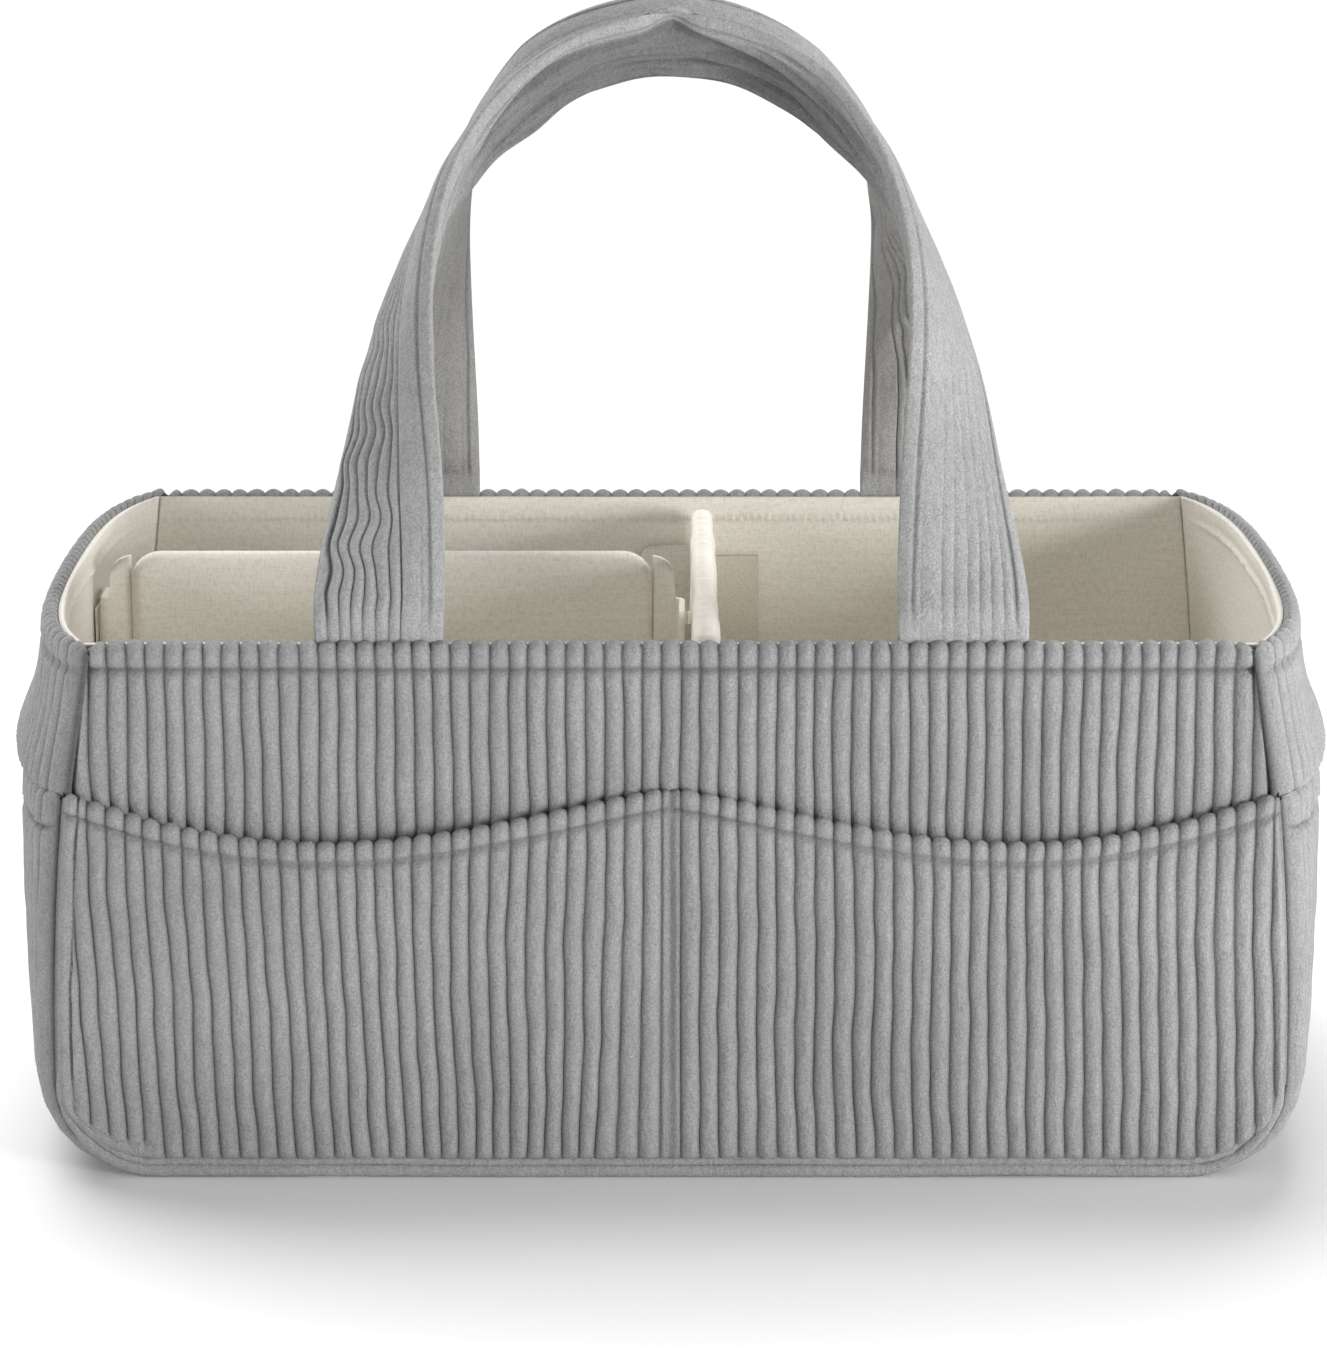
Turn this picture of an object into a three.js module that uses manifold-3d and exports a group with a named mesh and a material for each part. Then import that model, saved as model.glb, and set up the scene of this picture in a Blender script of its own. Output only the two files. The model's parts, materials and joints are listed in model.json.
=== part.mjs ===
// Soft diaper caddy in wide-wale corduroy: stiffened walls, a linen lining, outer pockets, two padded
// strap handles and two removable dividers. Millimetres, +Z up, +X to the right, the front faces -Y.
import * as THREE from "three";
import { mergeVertices } from "three/addons/utils/BufferGeometryUtils.js";
import Module from "manifold-3d";

const wasm = await Module();
wasm.setup();

// The bag
const bodyWidth = 380;
const bodyDepth = 236;
const bodyHeight = 170;
const cornerRadius = 30;
const sideSwell = 9;
const swellPowerShare = 0.6;
const rimDraw = 12;
const drawPower = 5;

// Cloth, boards and the room between them
const corduroy = 2.4;
const board = 2.6;
const lining = 1.2;
const gap = 0.3;
const pipingRadius = 2;
const rimBand = 26;

// Outer pockets
const pocketHeight = 124.5;
const pocketDip = 16;
const dipPowerShare = 1.2;
const pocketPuff = 8;
const puffPowerShare = 0.8;
const puffRiseShare = 0.62;
const sidePocketHeight = 123;
const sidePocketPuff = 7;
const elasticHeight = 8;
const elasticThickness = 1;
const elasticDrop = 2;

// Handles
const handleSpacing = 171.5;
const strapWidth = 38;
const strapThickness = 8;
const strapEdge = 3.2;
const strapCloth = 1.4;
const handleReach = 189.5;
const hingeRise = 7;
const handlesApart = 2;
const archPowerShare = 0.576;
const twistStart = 6;
const twistEnd = 170;
const twistPowerShare = 0.82;
const topTwist = 1.714;
const tabDepth = 22;
const tabInset = 1;
const tabThickness = 2.2;
const seamAllowance = 4;

// Dividers
const dividerThickness = 8;
const dividerDrop = 4;
const dividerCloth = 1.5;
const dividerCorner = 10;
const crossDividerX = 11;
const longDividerY = 24;
const endTabThickness = 2;
const endTabFold = 22;
const endTabReach = 8;
const endTabMargin = 4;
const fastenerThickness = 1;
const fastenerWidth = 18;
const fastenerBottom = 34;
const fastenerDrop = 22;

// Where each layer starts, measured inwards from the outermost face
const panelFace = 2 * pipingRadius - corduroy;
const frontBoardFace = 2 * pipingRadius + gap;
const frontLiningFace = frontBoardFace + board + gap;
const frontInside = frontLiningFace + lining;
const sideBoardFace = corduroy + gap;
const sideLiningFace = sideBoardFace + board + gap;
const sideInside = sideLiningFace + lining;
const insidePiping = 2 * (pipingRadius + gap);
const boardTop = bodyHeight - rimBand;
const fastenerTop = bodyHeight - fastenerDrop;

// Steps that the curved stretches are cut into
const cornerSteps = 5;
const wallRows = 6;
const footSteps = 3;
const depthSteps = 12;
const pocketColumns = 24;
const pocketRows = 5;
const strapSteps = 36;
const strapColumns = 4;
const pipingSides = 8;
const stripSteps = 2;
const endSteps = 2;
const elasticSkip = 2;
const slitShare = 0.15;

const quarterTurn = Math.PI / 2;
const halfDepth = bodyDepth / 2;
const flatHalf = bodyWidth / 2 - cornerRadius;

// Colours and finishes
const cordCloth = { color: 0x9d9d9c, roughness: 0.95, metalness: 0 };
const linenCloth = { color: 0xece6d8, roughness: 0.9, metalness: 0 };
const stiffBoard = { color: 0xb9a98c, roughness: 0.8, metalness: 0 };
const paddingFoam = { color: 0xf4f1ea, roughness: 1, metalness: 0 };
const fastenerTape = { color: 0xe3ddcf, roughness: 0.85, metalness: 0 };
const elasticTape = { color: 0xf2efe8, roughness: 0.7, metalness: 0 };

const caddy = new THREE.Group();

function addPiece(parent, name, geometry, finish) {
  const mesh = new THREE.Mesh(geometry, new THREE.MeshStandardMaterial(finish));
  mesh.name = name;
  parent.add(mesh);
  return mesh;
}

function turnedGroup(parent, angle) {
  const group = new THREE.Group();
  group.rotation.z = angle;
  parent.add(group);
  return group;
}

// Closed forms bent from unit shapes. place(u, v, w) has u and v from 0 to 1 along the sheet and w from
// 0 to 1 through it, and u, v, w turn right-handed.
function bend(geometry, place) {
  const at = geometry.attributes.position;
  for (let i = 0; i < at.count; i += 1) {
    const spot = place(at.getX(i), at.getY(i), at.getZ(i));
    at.setXYZ(i, spot.x, spot.y, spot.z);
  }
  geometry.deleteAttribute("normal");
  geometry.deleteAttribute("uv");
  const closed = mergeVertices(geometry);
  closed.computeVertexNormals();
  return closed;
}

function bentSheet(alongU, alongV, place) {
  const sheet = new THREE.BoxGeometry(1, 1, 1, alongU, alongV, 1);
  sheet.translate(1 / 2, 1 / 2, 1 / 2);
  return bend(sheet, place);
}

function solidOf(geometry) {
  const vertProperties = new Float32Array(geometry.attributes.position.array);
  const triVerts = new Uint32Array(geometry.index.array);
  return new wasm.Manifold(new wasm.Mesh({ numProp: 3, vertProperties, triVerts }));
}

function geometryOf(solid) {
  const { vertProperties, triVerts } = solid.getMesh();
  const geometry = new THREE.BufferGeometry();
  geometry.setAttribute("position", new THREE.BufferAttribute(new Float32Array(vertProperties), 3));
  geometry.setIndex(new THREE.BufferAttribute(new Uint32Array(triVerts), 1));
  geometry.computeVertexNormals();
  return geometry;
}

function cut(whole, ...cutters) {
  return geometryOf(cutters.reduce((left, cutter) => left.subtract(solidOf(cutter)), solidOf(whole)));
}

function join(first, second) {
  return geometryOf(solidOf(first).add(solidOf(second)));
}

// A box between two corners
function block(from, to) {
  return bentSheet(1, 1, (u, v, w) => new THREE.Vector3(u, v, w).multiply(to.clone().sub(from)).add(from));
}

// The bag's outer form: rounded below, with side walls that swell past the seams at mid-depth and seams
// that draw in towards the rim
function swellAt(y) {
  const reach = Math.min(1, Math.abs(y) / halfDepth);
  return sideSwell * Math.pow(1 - reach * reach, swellPowerShare);
}

function drawAt(y, z) {
  const rise = Math.max(0, (z - cornerRadius) / (bodyHeight - cornerRadius));
  return rimDraw * rise * rise * Math.pow(Math.min(1, Math.abs(y) / halfDepth), drawPower);
}

// Half the width of a layer that lies inset from the outer form, above the rounded corner
function halfWidthAt(y, z, inset) {
  return bodyWidth / 2 + swellAt(y) - drawAt(y, z) - inset;
}

// A place on the U-shaped section, inset from the outer form: stations 0 to 1 run down the left wall,
// 1 to 2 round its corner, 2 to 3 along the base, and 3 to 5 up the right side.
function sectionAt(station, inset, y) {
  const side = station < 5 / 2 ? -1 : 1;
  const down = station < 5 / 2 ? station : 5 - station;
  if (down < 1) {
    const z = bodyHeight - (bodyHeight - cornerRadius) * down;
    return { x: side * halfWidthAt(y, z, inset), z };
  }
  if (down < 2) {
    const turn = (down - 1) * quarterTurn;
    return {
      x: side * (flatHalf + (cornerRadius + swellAt(y) - inset) * Math.cos(turn)),
      z: cornerRadius - (cornerRadius - inset) * Math.sin(turn),
    };
  }
  return { x: flatHalf * 2 * (station - 5 / 2), z: inset };
}

const sectionCounts = [wallRows, cornerSteps, 1, cornerSteps, wallRows];

function totalOf(counts) {
  return counts.reduce((sum, count) => sum + count, 0);
}

// Turns an even run over all steps into stations, when stretch i has counts[i] steps.
function stationAlong(share, counts) {
  let step = Math.round(share * totalOf(counts));
  let stretch = 0;
  while (stretch < counts.length - 1 && step >= counts[stretch]) {
    step -= counts[stretch];
    stretch += 1;
  }
  return stretch + step / counts[stretch];
}

// Depths that the side layers share, closer where the swell starts; each layer keeps its own end.
const liningEnd = halfDepth - frontInside - gap;

function depthAt(share, end) {
  const step = Math.round(share * depthSteps);
  if (step === 0) return -end;
  if (step === depthSteps) return end;
  return (gap - liningEnd) * Math.cos(((step - 1) / (depthSteps - 2)) * Math.PI);
}

// One strip down the left side, under the base and up the right side
function gussetStrip(outer, thickness, end) {
  return bentSheet(totalOf(sectionCounts), depthSteps, (u, v, w) => {
    const y = depthAt(v, end);
    const spot = sectionAt(stationAlong(u, sectionCounts), outer + w * thickness, y);
    return new THREE.Vector3(spot.x, y, spot.z);
  });
}

// An upright sheet inside the left wall, over the whole depth
function leftWallSheet(outer, thickness, low, high, rows) {
  return bentSheet(depthSteps, rows, (u, v, w) => {
    const y = -depthAt(u, halfDepth - frontLiningFace);
    const z = low + v * (high - low);
    return new THREE.Vector3(-halfWidthAt(y, z, outer + (1 - w) * thickness), y, z);
  });
}

// A narrow upright strip that follows the left wall between two depths
function leftWallStrip(outer, thickness, low, high, from, to) {
  return bentSheet(stripSteps, 1, (u, v, w) => {
    const y = to - u * (to - from);
    const z = low + v * (high - low);
    return new THREE.Vector3(-halfWidthAt(y, z, outer + (1 - w) * thickness), y, z);
  });
}

// A sheet across the front with the bag's rounded lower corners. topAt gives its top edge and puffAt how
// far it stands out, both from the share of the half-width and, for the puff, of the height.
function frontSheet({ face, thickness, inset, swells, columns, rows, topAt, puffAt }) {
  const counts = [cornerSteps, rows];
  return bentSheet(columns, cornerSteps + rows, (u, v, w) => {
    const across = 2 * u - 1;
    const up = stationAlong(v, counts);
    const y = -halfDepth + face + (1 - w) * thickness;
    const edge = swells ? halfDepth - face : halfDepth;
    const top = topAt(Math.abs(across));
    const corner = sectionAt(Math.max(1, 2 - up), inset, edge);
    const z = up < 1 ? corner.z : cornerRadius + (up - 1) * (top - cornerRadius);
    const half = up < 1 ? -corner.x : halfWidthAt(edge, z, inset);
    const puff = puffAt ? puffAt(Math.abs(across), (z - inset) / (top - inset)) : 0;
    return new THREE.Vector3(half * across, y - puff, z);
  });
}

// Front and back panels, their boards and their linings
function endPanel() {
  const topAt = () => bodyHeight;
  const shape = { face: panelFace, thickness: corduroy, inset: insidePiping, swells: false };
  return frontSheet({ ...shape, columns: 1, rows: wallRows, topAt });
}

function endBoard() {
  const topAt = () => boardTop;
  const shape = { face: frontBoardFace, thickness: board, inset: sideBoardFace, swells: true };
  return frontSheet({ ...shape, columns: 1, rows: wallRows, topAt });
}

function endLining() {
  const topAt = () => bodyHeight;
  const shape = { face: frontLiningFace, thickness: lining, inset: sideLiningFace, swells: true };
  return frontSheet({ ...shape, columns: 1, rows: wallRows, topAt });
}

// Piping: a cord sewn round the edge of the panel, from rim to rim
function piping() {
  const cord = new THREE.CylinderGeometry(1, 1, 1, pipingSides, totalOf(sectionCounts));
  cord.translate(0, 1 / 2, 0);
  return bend(cord, (across, along, through) => {
    const inset = pipingRadius * (1 + across) + gap;
    const spot = sectionAt(stationAlong(along, sectionCounts), inset, halfDepth);
    return new THREE.Vector3(spot.x, -halfDepth + pipingRadius * (1 + through), spot.z);
  });
}

// End pocket: one panel sewn at the sides, the bottom and the middle, with a hem that dips twice
function pocketTop(across) {
  return pocketHeight - pocketDip * Math.sin(Math.PI * Math.pow(across, dipPowerShare));
}

function puffOver(across, up, height) {
  const rise = Math.sin(up * Math.PI * puffRiseShare);
  return height * rise * Math.pow(Math.max(0, Math.sin(Math.PI * across)), puffPowerShare);
}

function endPocket() {
  const puffAt = (across, up) => puffOver(across, up, pocketPuff);
  const face = panelFace - gap - corduroy;
  const shape = { face, thickness: corduroy, inset: insidePiping, swells: false };
  return frontSheet({ ...shape, columns: pocketColumns, rows: pocketRows, topAt: pocketTop, puffAt });
}

// Side pocket on the left: rises from the lower corner and stands off the wall
const sideEnd = halfDepth - frontBoardFace;

function sidePuffAt(y, z) {
  return puffOver(1 / 2 + y / (2 * sideEnd), z / sidePocketHeight, sidePocketPuff);
}

function sidePocket() {
  const counts = [footSteps, pocketRows];
  return bentSheet(depthSteps, totalOf(counts), (u, v, w) => {
    const y = -depthAt(u, sideEnd);
    const up = stationAlong(v, counts);
    const station = 1 + Math.max(0, 1 - up) * (footSteps / cornerSteps);
    const seat = sectionAt(station, 0, y);
    const z = up < 1 ? seat.z : cornerRadius + (up - 1) * (sidePocketHeight - cornerRadius);
    const out = gap + sidePuffAt(y, z) + w * corduroy;
    if (up >= 1) return new THREE.Vector3(-halfWidthAt(y, z, -out), y, z);
    const corner = sectionAt(station, -out, y);
    return new THREE.Vector3(corner.x, y, corner.z);
  });
}

// Elastic behind the pocket's hem
function sideElastic() {
  const steps = depthSteps - 2 * elasticSkip;
  const top = sidePocketHeight - elasticDrop;
  return bentSheet(steps, 1, (u, v, w) => {
    const y = -depthAt((elasticSkip + u * steps) / depthSteps, sideEnd);
    const z = top - (1 - v) * elasticHeight;
    const out = sidePuffAt(y, z) - (1 - w) * elasticThickness;
    return new THREE.Vector3(-halfWidthAt(y, z, -out), y, z);
  });
}

// Rim: the turned allowance between cloth and lining, notched for the handle ends
const hingeY = -halfDepth + frontBoardFace + board / 2;
const hingeZ = bodyHeight + hingeRise;
const tabHalf = strapWidth / 2 - tabInset;

function handleTab(side, room, top) {
  const x = (side * handleSpacing) / 2;
  const reach = tabHalf + room;
  const depth = tabThickness / 2 + room;
  const from = new THREE.Vector3(x - reach, hingeY - depth, bodyHeight - tabDepth - room);
  return block(from, new THREE.Vector3(x + reach, hingeY + depth, top));
}

function endRimBand() {
  const low = boardTop + gap;
  const band = bentSheet(1, 1, (u, v, w) => {
    const z = low + v * (bodyHeight - low);
    const half = halfWidthAt(sideEnd, z, sideBoardFace);
    return new THREE.Vector3(half * (2 * u - 1), -sideEnd + (1 - w) * board, z);
  });
  const overrun = bodyHeight + hingeRise;
  return cut(band, handleTab(-1, gap, overrun), handleTab(1, gap, overrun));
}

// Handle: a padded strap that faces forward at the rim and twists past a quarter turn on its way to the
// top. It leans in until its inner edge comes close to the other handle.
const leanArm = handleReach + (strapWidth / 2) * Math.cos(topTwist) + (strapEdge / 2) * Math.sin(topTwist);
const leanEdge = (strapWidth / 2) * Math.sin(topTwist) - (strapEdge / 2) * Math.cos(topTwist);
const leanSpan = (-hingeY - handlesApart / 2) / Math.hypot(leanArm, leanEdge);
const handleLean = Math.asin(leanSpan) - Math.atan2(leanEdge, leanArm);

// The strap's middle line at a step of the arch, with the steps closest together at the rim
function archAt(step) {
  const turn = quarterTurn * (1 - Math.cos((step / strapSteps) * Math.PI));
  const risen = Math.pow(Math.max(0, Math.sin(turn)), archPowerShare);
  return new THREE.Vector2((-Math.cos(turn) * handleSpacing) / 2, handleReach * risen);
}

// The middle line, its tangent and the strap's twist
function strapFrame(step) {
  const spot = archAt(step);
  const tangent = archAt(step + 1 / 8).sub(archAt(step - 1 / 8)).normalize();
  if (step <= 0) tangent.set(0, 1);
  if (step >= strapSteps) tangent.set(0, -1);
  const twisted = (Math.min(twistEnd, Math.max(twistStart, spot.y)) - twistStart) / (twistEnd - twistStart);
  return { spot, tangent, twist: topTwist * Math.pow(twisted, twistPowerShare) };
}

function strapPoint(frame, offset, depth) {
  const inward = new THREE.Vector3(frame.tangent.y, 0, -frame.tangent.x);
  const forward = new THREE.Vector3(0, -1, 0);
  const across = inward.clone().multiplyScalar(Math.cos(frame.twist));
  across.addScaledVector(forward, Math.sin(frame.twist));
  const through = inward.clone().multiplyScalar(Math.sin(frame.twist));
  through.addScaledVector(forward, -Math.cos(frame.twist));
  const spot = new THREE.Vector3(frame.spot.x, 0, frame.spot.y);
  return spot.addScaledVector(across, offset).addScaledVector(through, depth);
}

// Full thickness of the strap at an offset from its middle line
function strapThicknessAt(offset) {
  const share = Math.abs(offset) / (strapWidth / 2);
  return strapEdge + (strapThickness - strapEdge) * (1 - Math.pow(share, 4));
}

// The strap's outer form, with both ends rounded about the hinge line
function strapForm() {
  const total = strapSteps + 2 * endSteps;
  return bentSheet(total, strapColumns, (u, v, w) => {
    const step = Math.round(u * total) - endSteps;
    const past = Math.max(0, -step, step - strapSteps);
    const rounding = (past / (endSteps + 1)) * quarterTurn;
    const frame = strapFrame(Math.min(strapSteps, Math.max(0, step)));
    frame.spot.y -= (strapThickness / 2) * Math.sin(rounding);
    const offset = (v - 1 / 2) * strapWidth;
    return strapPoint(frame, offset, (w - 1 / 2) * strapThicknessAt(offset) * Math.cos(rounding));
  });
}

// The room inside the sleeve, open at both ends through a slit
function strapRoom() {
  const total = strapSteps + 2;
  return bentSheet(total, strapColumns, (u, v, w) => {
    const step = Math.round(u * total) - 1;
    const past = step < 0 || step > strapSteps;
    const frame = strapFrame(Math.min(strapSteps, Math.max(0, step)));
    if (past) frame.spot.y -= strapThickness;
    const narrow = step < 1 || step > strapSteps - 1 ? slitShare : 1;
    const offset = (v - 1 / 2) * (strapWidth - 2 * seamAllowance);
    return strapPoint(frame, offset, (w - 1 / 2) * narrow * (strapThicknessAt(offset) - 2 * strapCloth));
  });
}

function strapPadding() {
  const total = strapSteps - 2;
  return bentSheet(total, strapColumns, (u, v, w) => {
    const frame = strapFrame(Math.round(u * total) + 1);
    const offset = (v - 1 / 2) * (strapWidth - 2 * seamAllowance - 2 * gap);
    return strapPoint(frame, offset, (w - 1 / 2) * (strapThicknessAt(offset) - 2 * strapCloth - 2 * gap));
  });
}

// Dividers: an upright plate in the plane of x and z, middle at y
function uprightPlate(outline, thickness, y) {
  const plate = new THREE.ExtrudeGeometry(outline, {
    depth: thickness,
    bevelEnabled: false,
    curveSegments: cornerSteps,
  });
  plate.translate(0, 0, -thickness / 2);
  plate.rotateX(quarterTurn);
  plate.translate(0, y, 0);
  plate.deleteAttribute("normal");
  plate.deleteAttribute("uv");
  return mergeVertices(plate);
}

// Outline of a divider, drawn in by a margin, with rounded top corners. Where it meets the swelling side
// wall its lower left corner follows the bag.
function dividerOutline({ left, right, margin, foot, cornerReach }) {
  const low = foot;
  const high = bodyHeight - dividerDrop - margin;
  const round = dividerCorner - margin;
  const outline = new THREE.Shape();
  outline.moveTo(right - margin, low);
  outline.lineTo(right - margin, high - round);
  outline.absarc(right - margin - round, high - round, round, 0, quarterTurn, false);
  outline.lineTo(left + margin + round, high);
  outline.absarc(left + margin + round, high - round, round, quarterTurn, 2 * quarterTurn, false);
  if (cornerReach) {
    const radii = [cornerReach - margin, cornerRadius - low];
    outline.lineTo(left + margin, cornerRadius);
    outline.absellipse(left + cornerReach, cornerRadius, ...radii, Math.PI, 3 * quarterTurn);
  } else {
    outline.lineTo(left + margin, low);
  }
  outline.closePath();
  return outline;
}

const dividerFoot = sideInside + gap;

function dividerPieces(shape, y) {
  const outside = dividerOutline({ ...shape, margin: 0, foot: dividerFoot });
  const whole = uprightPlate(outside, dividerThickness, y);
  const roomWidth = dividerThickness - 2 * dividerCloth;
  const below = dividerFoot - dividerCloth;
  const room = uprightPlate(dividerOutline({ ...shape, margin: dividerCloth, foot: below }), roomWidth, y);
  const within = { ...shape, margin: dividerCloth + gap, foot: dividerFoot + gap };
  return { cover: cut(whole, room), core: uprightPlate(dividerOutline(within), roomWidth - 2 * gap, y) };
}

// Hook and loop: a loop strip on what holds the divider, a hook strip on the divider's folded end tab
const hookFace = fastenerThickness + 2 * gap;
const tabFace = 2 * fastenerThickness + 3 * gap;
const padFace = tabFace + endTabThickness + endTabReach;
const foldMiddle = endTabFold / 2;
const tabLow = fastenerBottom - endTabMargin;
const tabHigh = fastenerTop + endTabMargin;

// Strips on a flat wall that faces +X at x = 0, with the fold running to +Y from the divider at y = 0
function flatStrip(face, thickness, from, to, low, high) {
  return block(new THREE.Vector3(face, from, low), new THREE.Vector3(face + thickness, to, high));
}

const stripFrom = foldMiddle - fastenerWidth / 2;
const stripTo = foldMiddle + fastenerWidth / 2;

function flatEndTab() {
  const fold = flatStrip(tabFace, endTabThickness, -endTabThickness / 2, endTabFold, tabLow, tabHigh);
  const reach = endTabThickness / 2 + endTabReach - gap;
  const face = tabFace + endTabThickness / 2;
  return join(fold, flatStrip(face, reach, -endTabThickness / 2, endTabThickness / 2, tabLow, tabHigh));
}

function leftEndTab() {
  const from = longDividerY - endTabThickness / 2;
  const foldLimits = [tabLow, tabHigh, from, longDividerY + endTabFold];
  const fold = leftWallStrip(sideInside + tabFace, endTabThickness, ...foldLimits);
  const start = -halfWidthAt(longDividerY, tabLow, sideInside) + tabFace + endTabThickness / 2;
  const reach = endTabThickness / 2 + endTabReach - gap;
  const leg = flatStrip(start, reach, from, from + endTabThickness, tabLow, tabHigh);
  return join(fold, leg);
}

// Assembly
const front = turnedGroup(caddy, 0);
const back = turnedGroup(caddy, Math.PI);
const left = turnedGroup(caddy, 0);
const right = turnedGroup(caddy, Math.PI);

addPiece(caddy, "gusset", gussetStrip(0, corduroy, sideEnd), cordCloth);
addPiece(caddy, "gusset_lining", gussetStrip(sideLiningFace, lining, liningEnd), linenCloth);
const baseHalf = halfDepth - frontLiningFace;
const baseFrom = new THREE.Vector3(-flatHalf, -baseHalf, sideBoardFace);
const baseTo = new THREE.Vector3(flatHalf, baseHalf, sideBoardFace + board);
addPiece(caddy, "base_board", block(baseFrom, baseTo), stiffBoard);

for (const [group, end] of [[front, "front"], [back, "back"]]) {
  addPiece(group, `${end}_panel`, endPanel(), cordCloth);
  addPiece(group, `${end}_piping`, piping(), cordCloth);
  addPiece(group, `${end}_pocket`, endPocket(), cordCloth);
  addPiece(group, `${end}_board`, endBoard(), stiffBoard);
  addPiece(group, `${end}_lining`, endLining(), linenCloth);
  addPiece(group, `${end}_rim_band`, endRimBand(), linenCloth);
  const tabTop = hingeZ - strapThickness / 2 - gap;
  addPiece(group, `${end}_handle_tab_a`, handleTab(-1, 0, tabTop), cordCloth);
  addPiece(group, `${end}_handle_tab_b`, handleTab(1, 0, tabTop), cordCloth);
  const handle = new THREE.Group();
  handle.position.set(0, hingeY, hingeZ);
  handle.rotation.x = -handleLean;
  group.add(handle);
  addPiece(handle, `${end}_handle_sleeve`, cut(strapForm(), strapRoom()), cordCloth);
  addPiece(handle, `${end}_handle_padding`, strapPadding(), paddingFoam);
}

for (const [group, side] of [[left, "left"], [right, "right"]]) {
  addPiece(group, `${side}_pocket`, sidePocket(), cordCloth);
  addPiece(group, `${side}_pocket_elastic`, sideElastic(), elasticTape);
  const stiffener = leftWallSheet(sideBoardFace, board, cornerRadius, boardTop, wallRows);
  addPiece(group, `${side}_board`, stiffener, stiffBoard);
  const band = leftWallSheet(sideBoardFace, board, boardTop + gap, bodyHeight, 1);
  addPiece(group, `${side}_rim_band`, band, linenCloth);
}

// The cross divider is drawn along x and turned to run from front to back.
const cross = new THREE.Group();
cross.position.x = crossDividerX;
cross.rotation.z = quarterTurn;
caddy.add(cross);
const crossHalf = halfDepth - frontInside - padFace;
const crossPieces = dividerPieces({ left: -crossHalf, right: crossHalf }, 0);
addPiece(cross, "cross_divider_cover", crossPieces.cover, linenCloth);
addPiece(cross, "cross_divider_board", crossPieces.core, stiffBoard);

// Fastens one divider end to a wall: the group's +X leads away from the wall and its +Y along the fold.
function flatFastening(x, y, turn, loopName, hookName, tabName) {
  const place = turnedGroup(caddy, turn);
  place.position.set(x, y, 0);
  const limits = [stripFrom, stripTo, fastenerBottom, fastenerTop];
  addPiece(place, loopName, flatStrip(gap, fastenerThickness, ...limits), fastenerTape);
  addPiece(place, hookName, flatStrip(hookFace, fastenerThickness, ...limits), fastenerTape);
  addPiece(place, tabName, flatEndTab(), linenCloth);
}

const wallY = halfDepth - frontInside;
const frontNames = ["front_loop_strip", "cross_divider_hook_front", "cross_divider_tab_front"];
flatFastening(crossDividerX, -wallY, quarterTurn, ...frontNames);
const backNames = ["back_loop_strip", "cross_divider_hook_back", "cross_divider_tab_back"];
flatFastening(crossDividerX, wallY, -quarterTurn, ...backNames);

// Long divider, from the left wall to the cross divider
const crossFace = crossDividerX - dividerThickness / 2;
const longLeft = -halfWidthAt(longDividerY + dividerThickness / 2, bodyHeight, sideInside + padFace);
const longShape = { left: longLeft, right: crossFace - padFace, cornerReach: -flatHalf - longLeft };
const longPieces = dividerPieces(longShape, longDividerY);
addPiece(caddy, "long_divider_cover", longPieces.cover, linenCloth);
addPiece(caddy, "long_divider_board", longPieces.core, stiffBoard);
addPiece(caddy, "long_divider_tab_left", leftEndTab(), linenCloth);

const stripLimits = [fastenerBottom, fastenerTop, longDividerY + stripFrom, longDividerY + stripTo];
const leftLoop = leftWallStrip(sideInside + gap, fastenerThickness, ...stripLimits);
addPiece(caddy, "left_loop_strip", leftLoop, fastenerTape);
const leftHook = leftWallStrip(sideInside + hookFace, fastenerThickness, ...stripLimits);
addPiece(caddy, "long_divider_hook_left", leftHook, fastenerTape);

const rightNames = ["cross_divider_loop", "long_divider_hook_right", "long_divider_tab_right"];
flatFastening(crossFace, longDividerY, Math.PI, ...rightNames);

export default caddy;
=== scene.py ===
"""Nursery caddy in wide-wale corduroy: stiffened walls with a linen lining, gathered and scalloped outer
pockets, two padded strap handles and two padded dividers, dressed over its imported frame."""

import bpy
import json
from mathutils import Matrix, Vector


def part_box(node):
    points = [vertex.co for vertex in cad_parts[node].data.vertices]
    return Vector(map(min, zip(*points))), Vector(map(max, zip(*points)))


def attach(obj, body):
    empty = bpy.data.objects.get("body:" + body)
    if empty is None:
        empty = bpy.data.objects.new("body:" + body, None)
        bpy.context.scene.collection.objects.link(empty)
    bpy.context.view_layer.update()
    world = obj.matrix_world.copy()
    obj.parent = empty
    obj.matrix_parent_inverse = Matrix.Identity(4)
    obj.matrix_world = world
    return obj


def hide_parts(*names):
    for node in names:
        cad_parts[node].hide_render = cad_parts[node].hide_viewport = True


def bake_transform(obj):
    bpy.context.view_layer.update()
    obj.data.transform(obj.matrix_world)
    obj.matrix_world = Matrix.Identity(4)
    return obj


bl_info = {
    "name": "Corduroy Caddy",
    "version": (1, 0, 0),
    "blender": (4, 5, 0),
    "location": "View3D > Sidebar > Caddy",
    "description": "Builds a soft corduroy caddy with pockets, strap handles and dividers",
    "category": "Object",
}

import json
import math

import bmesh
import bpy
import numpy as np
from bpy.props import FloatProperty, FloatVectorProperty, PointerProperty

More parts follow.
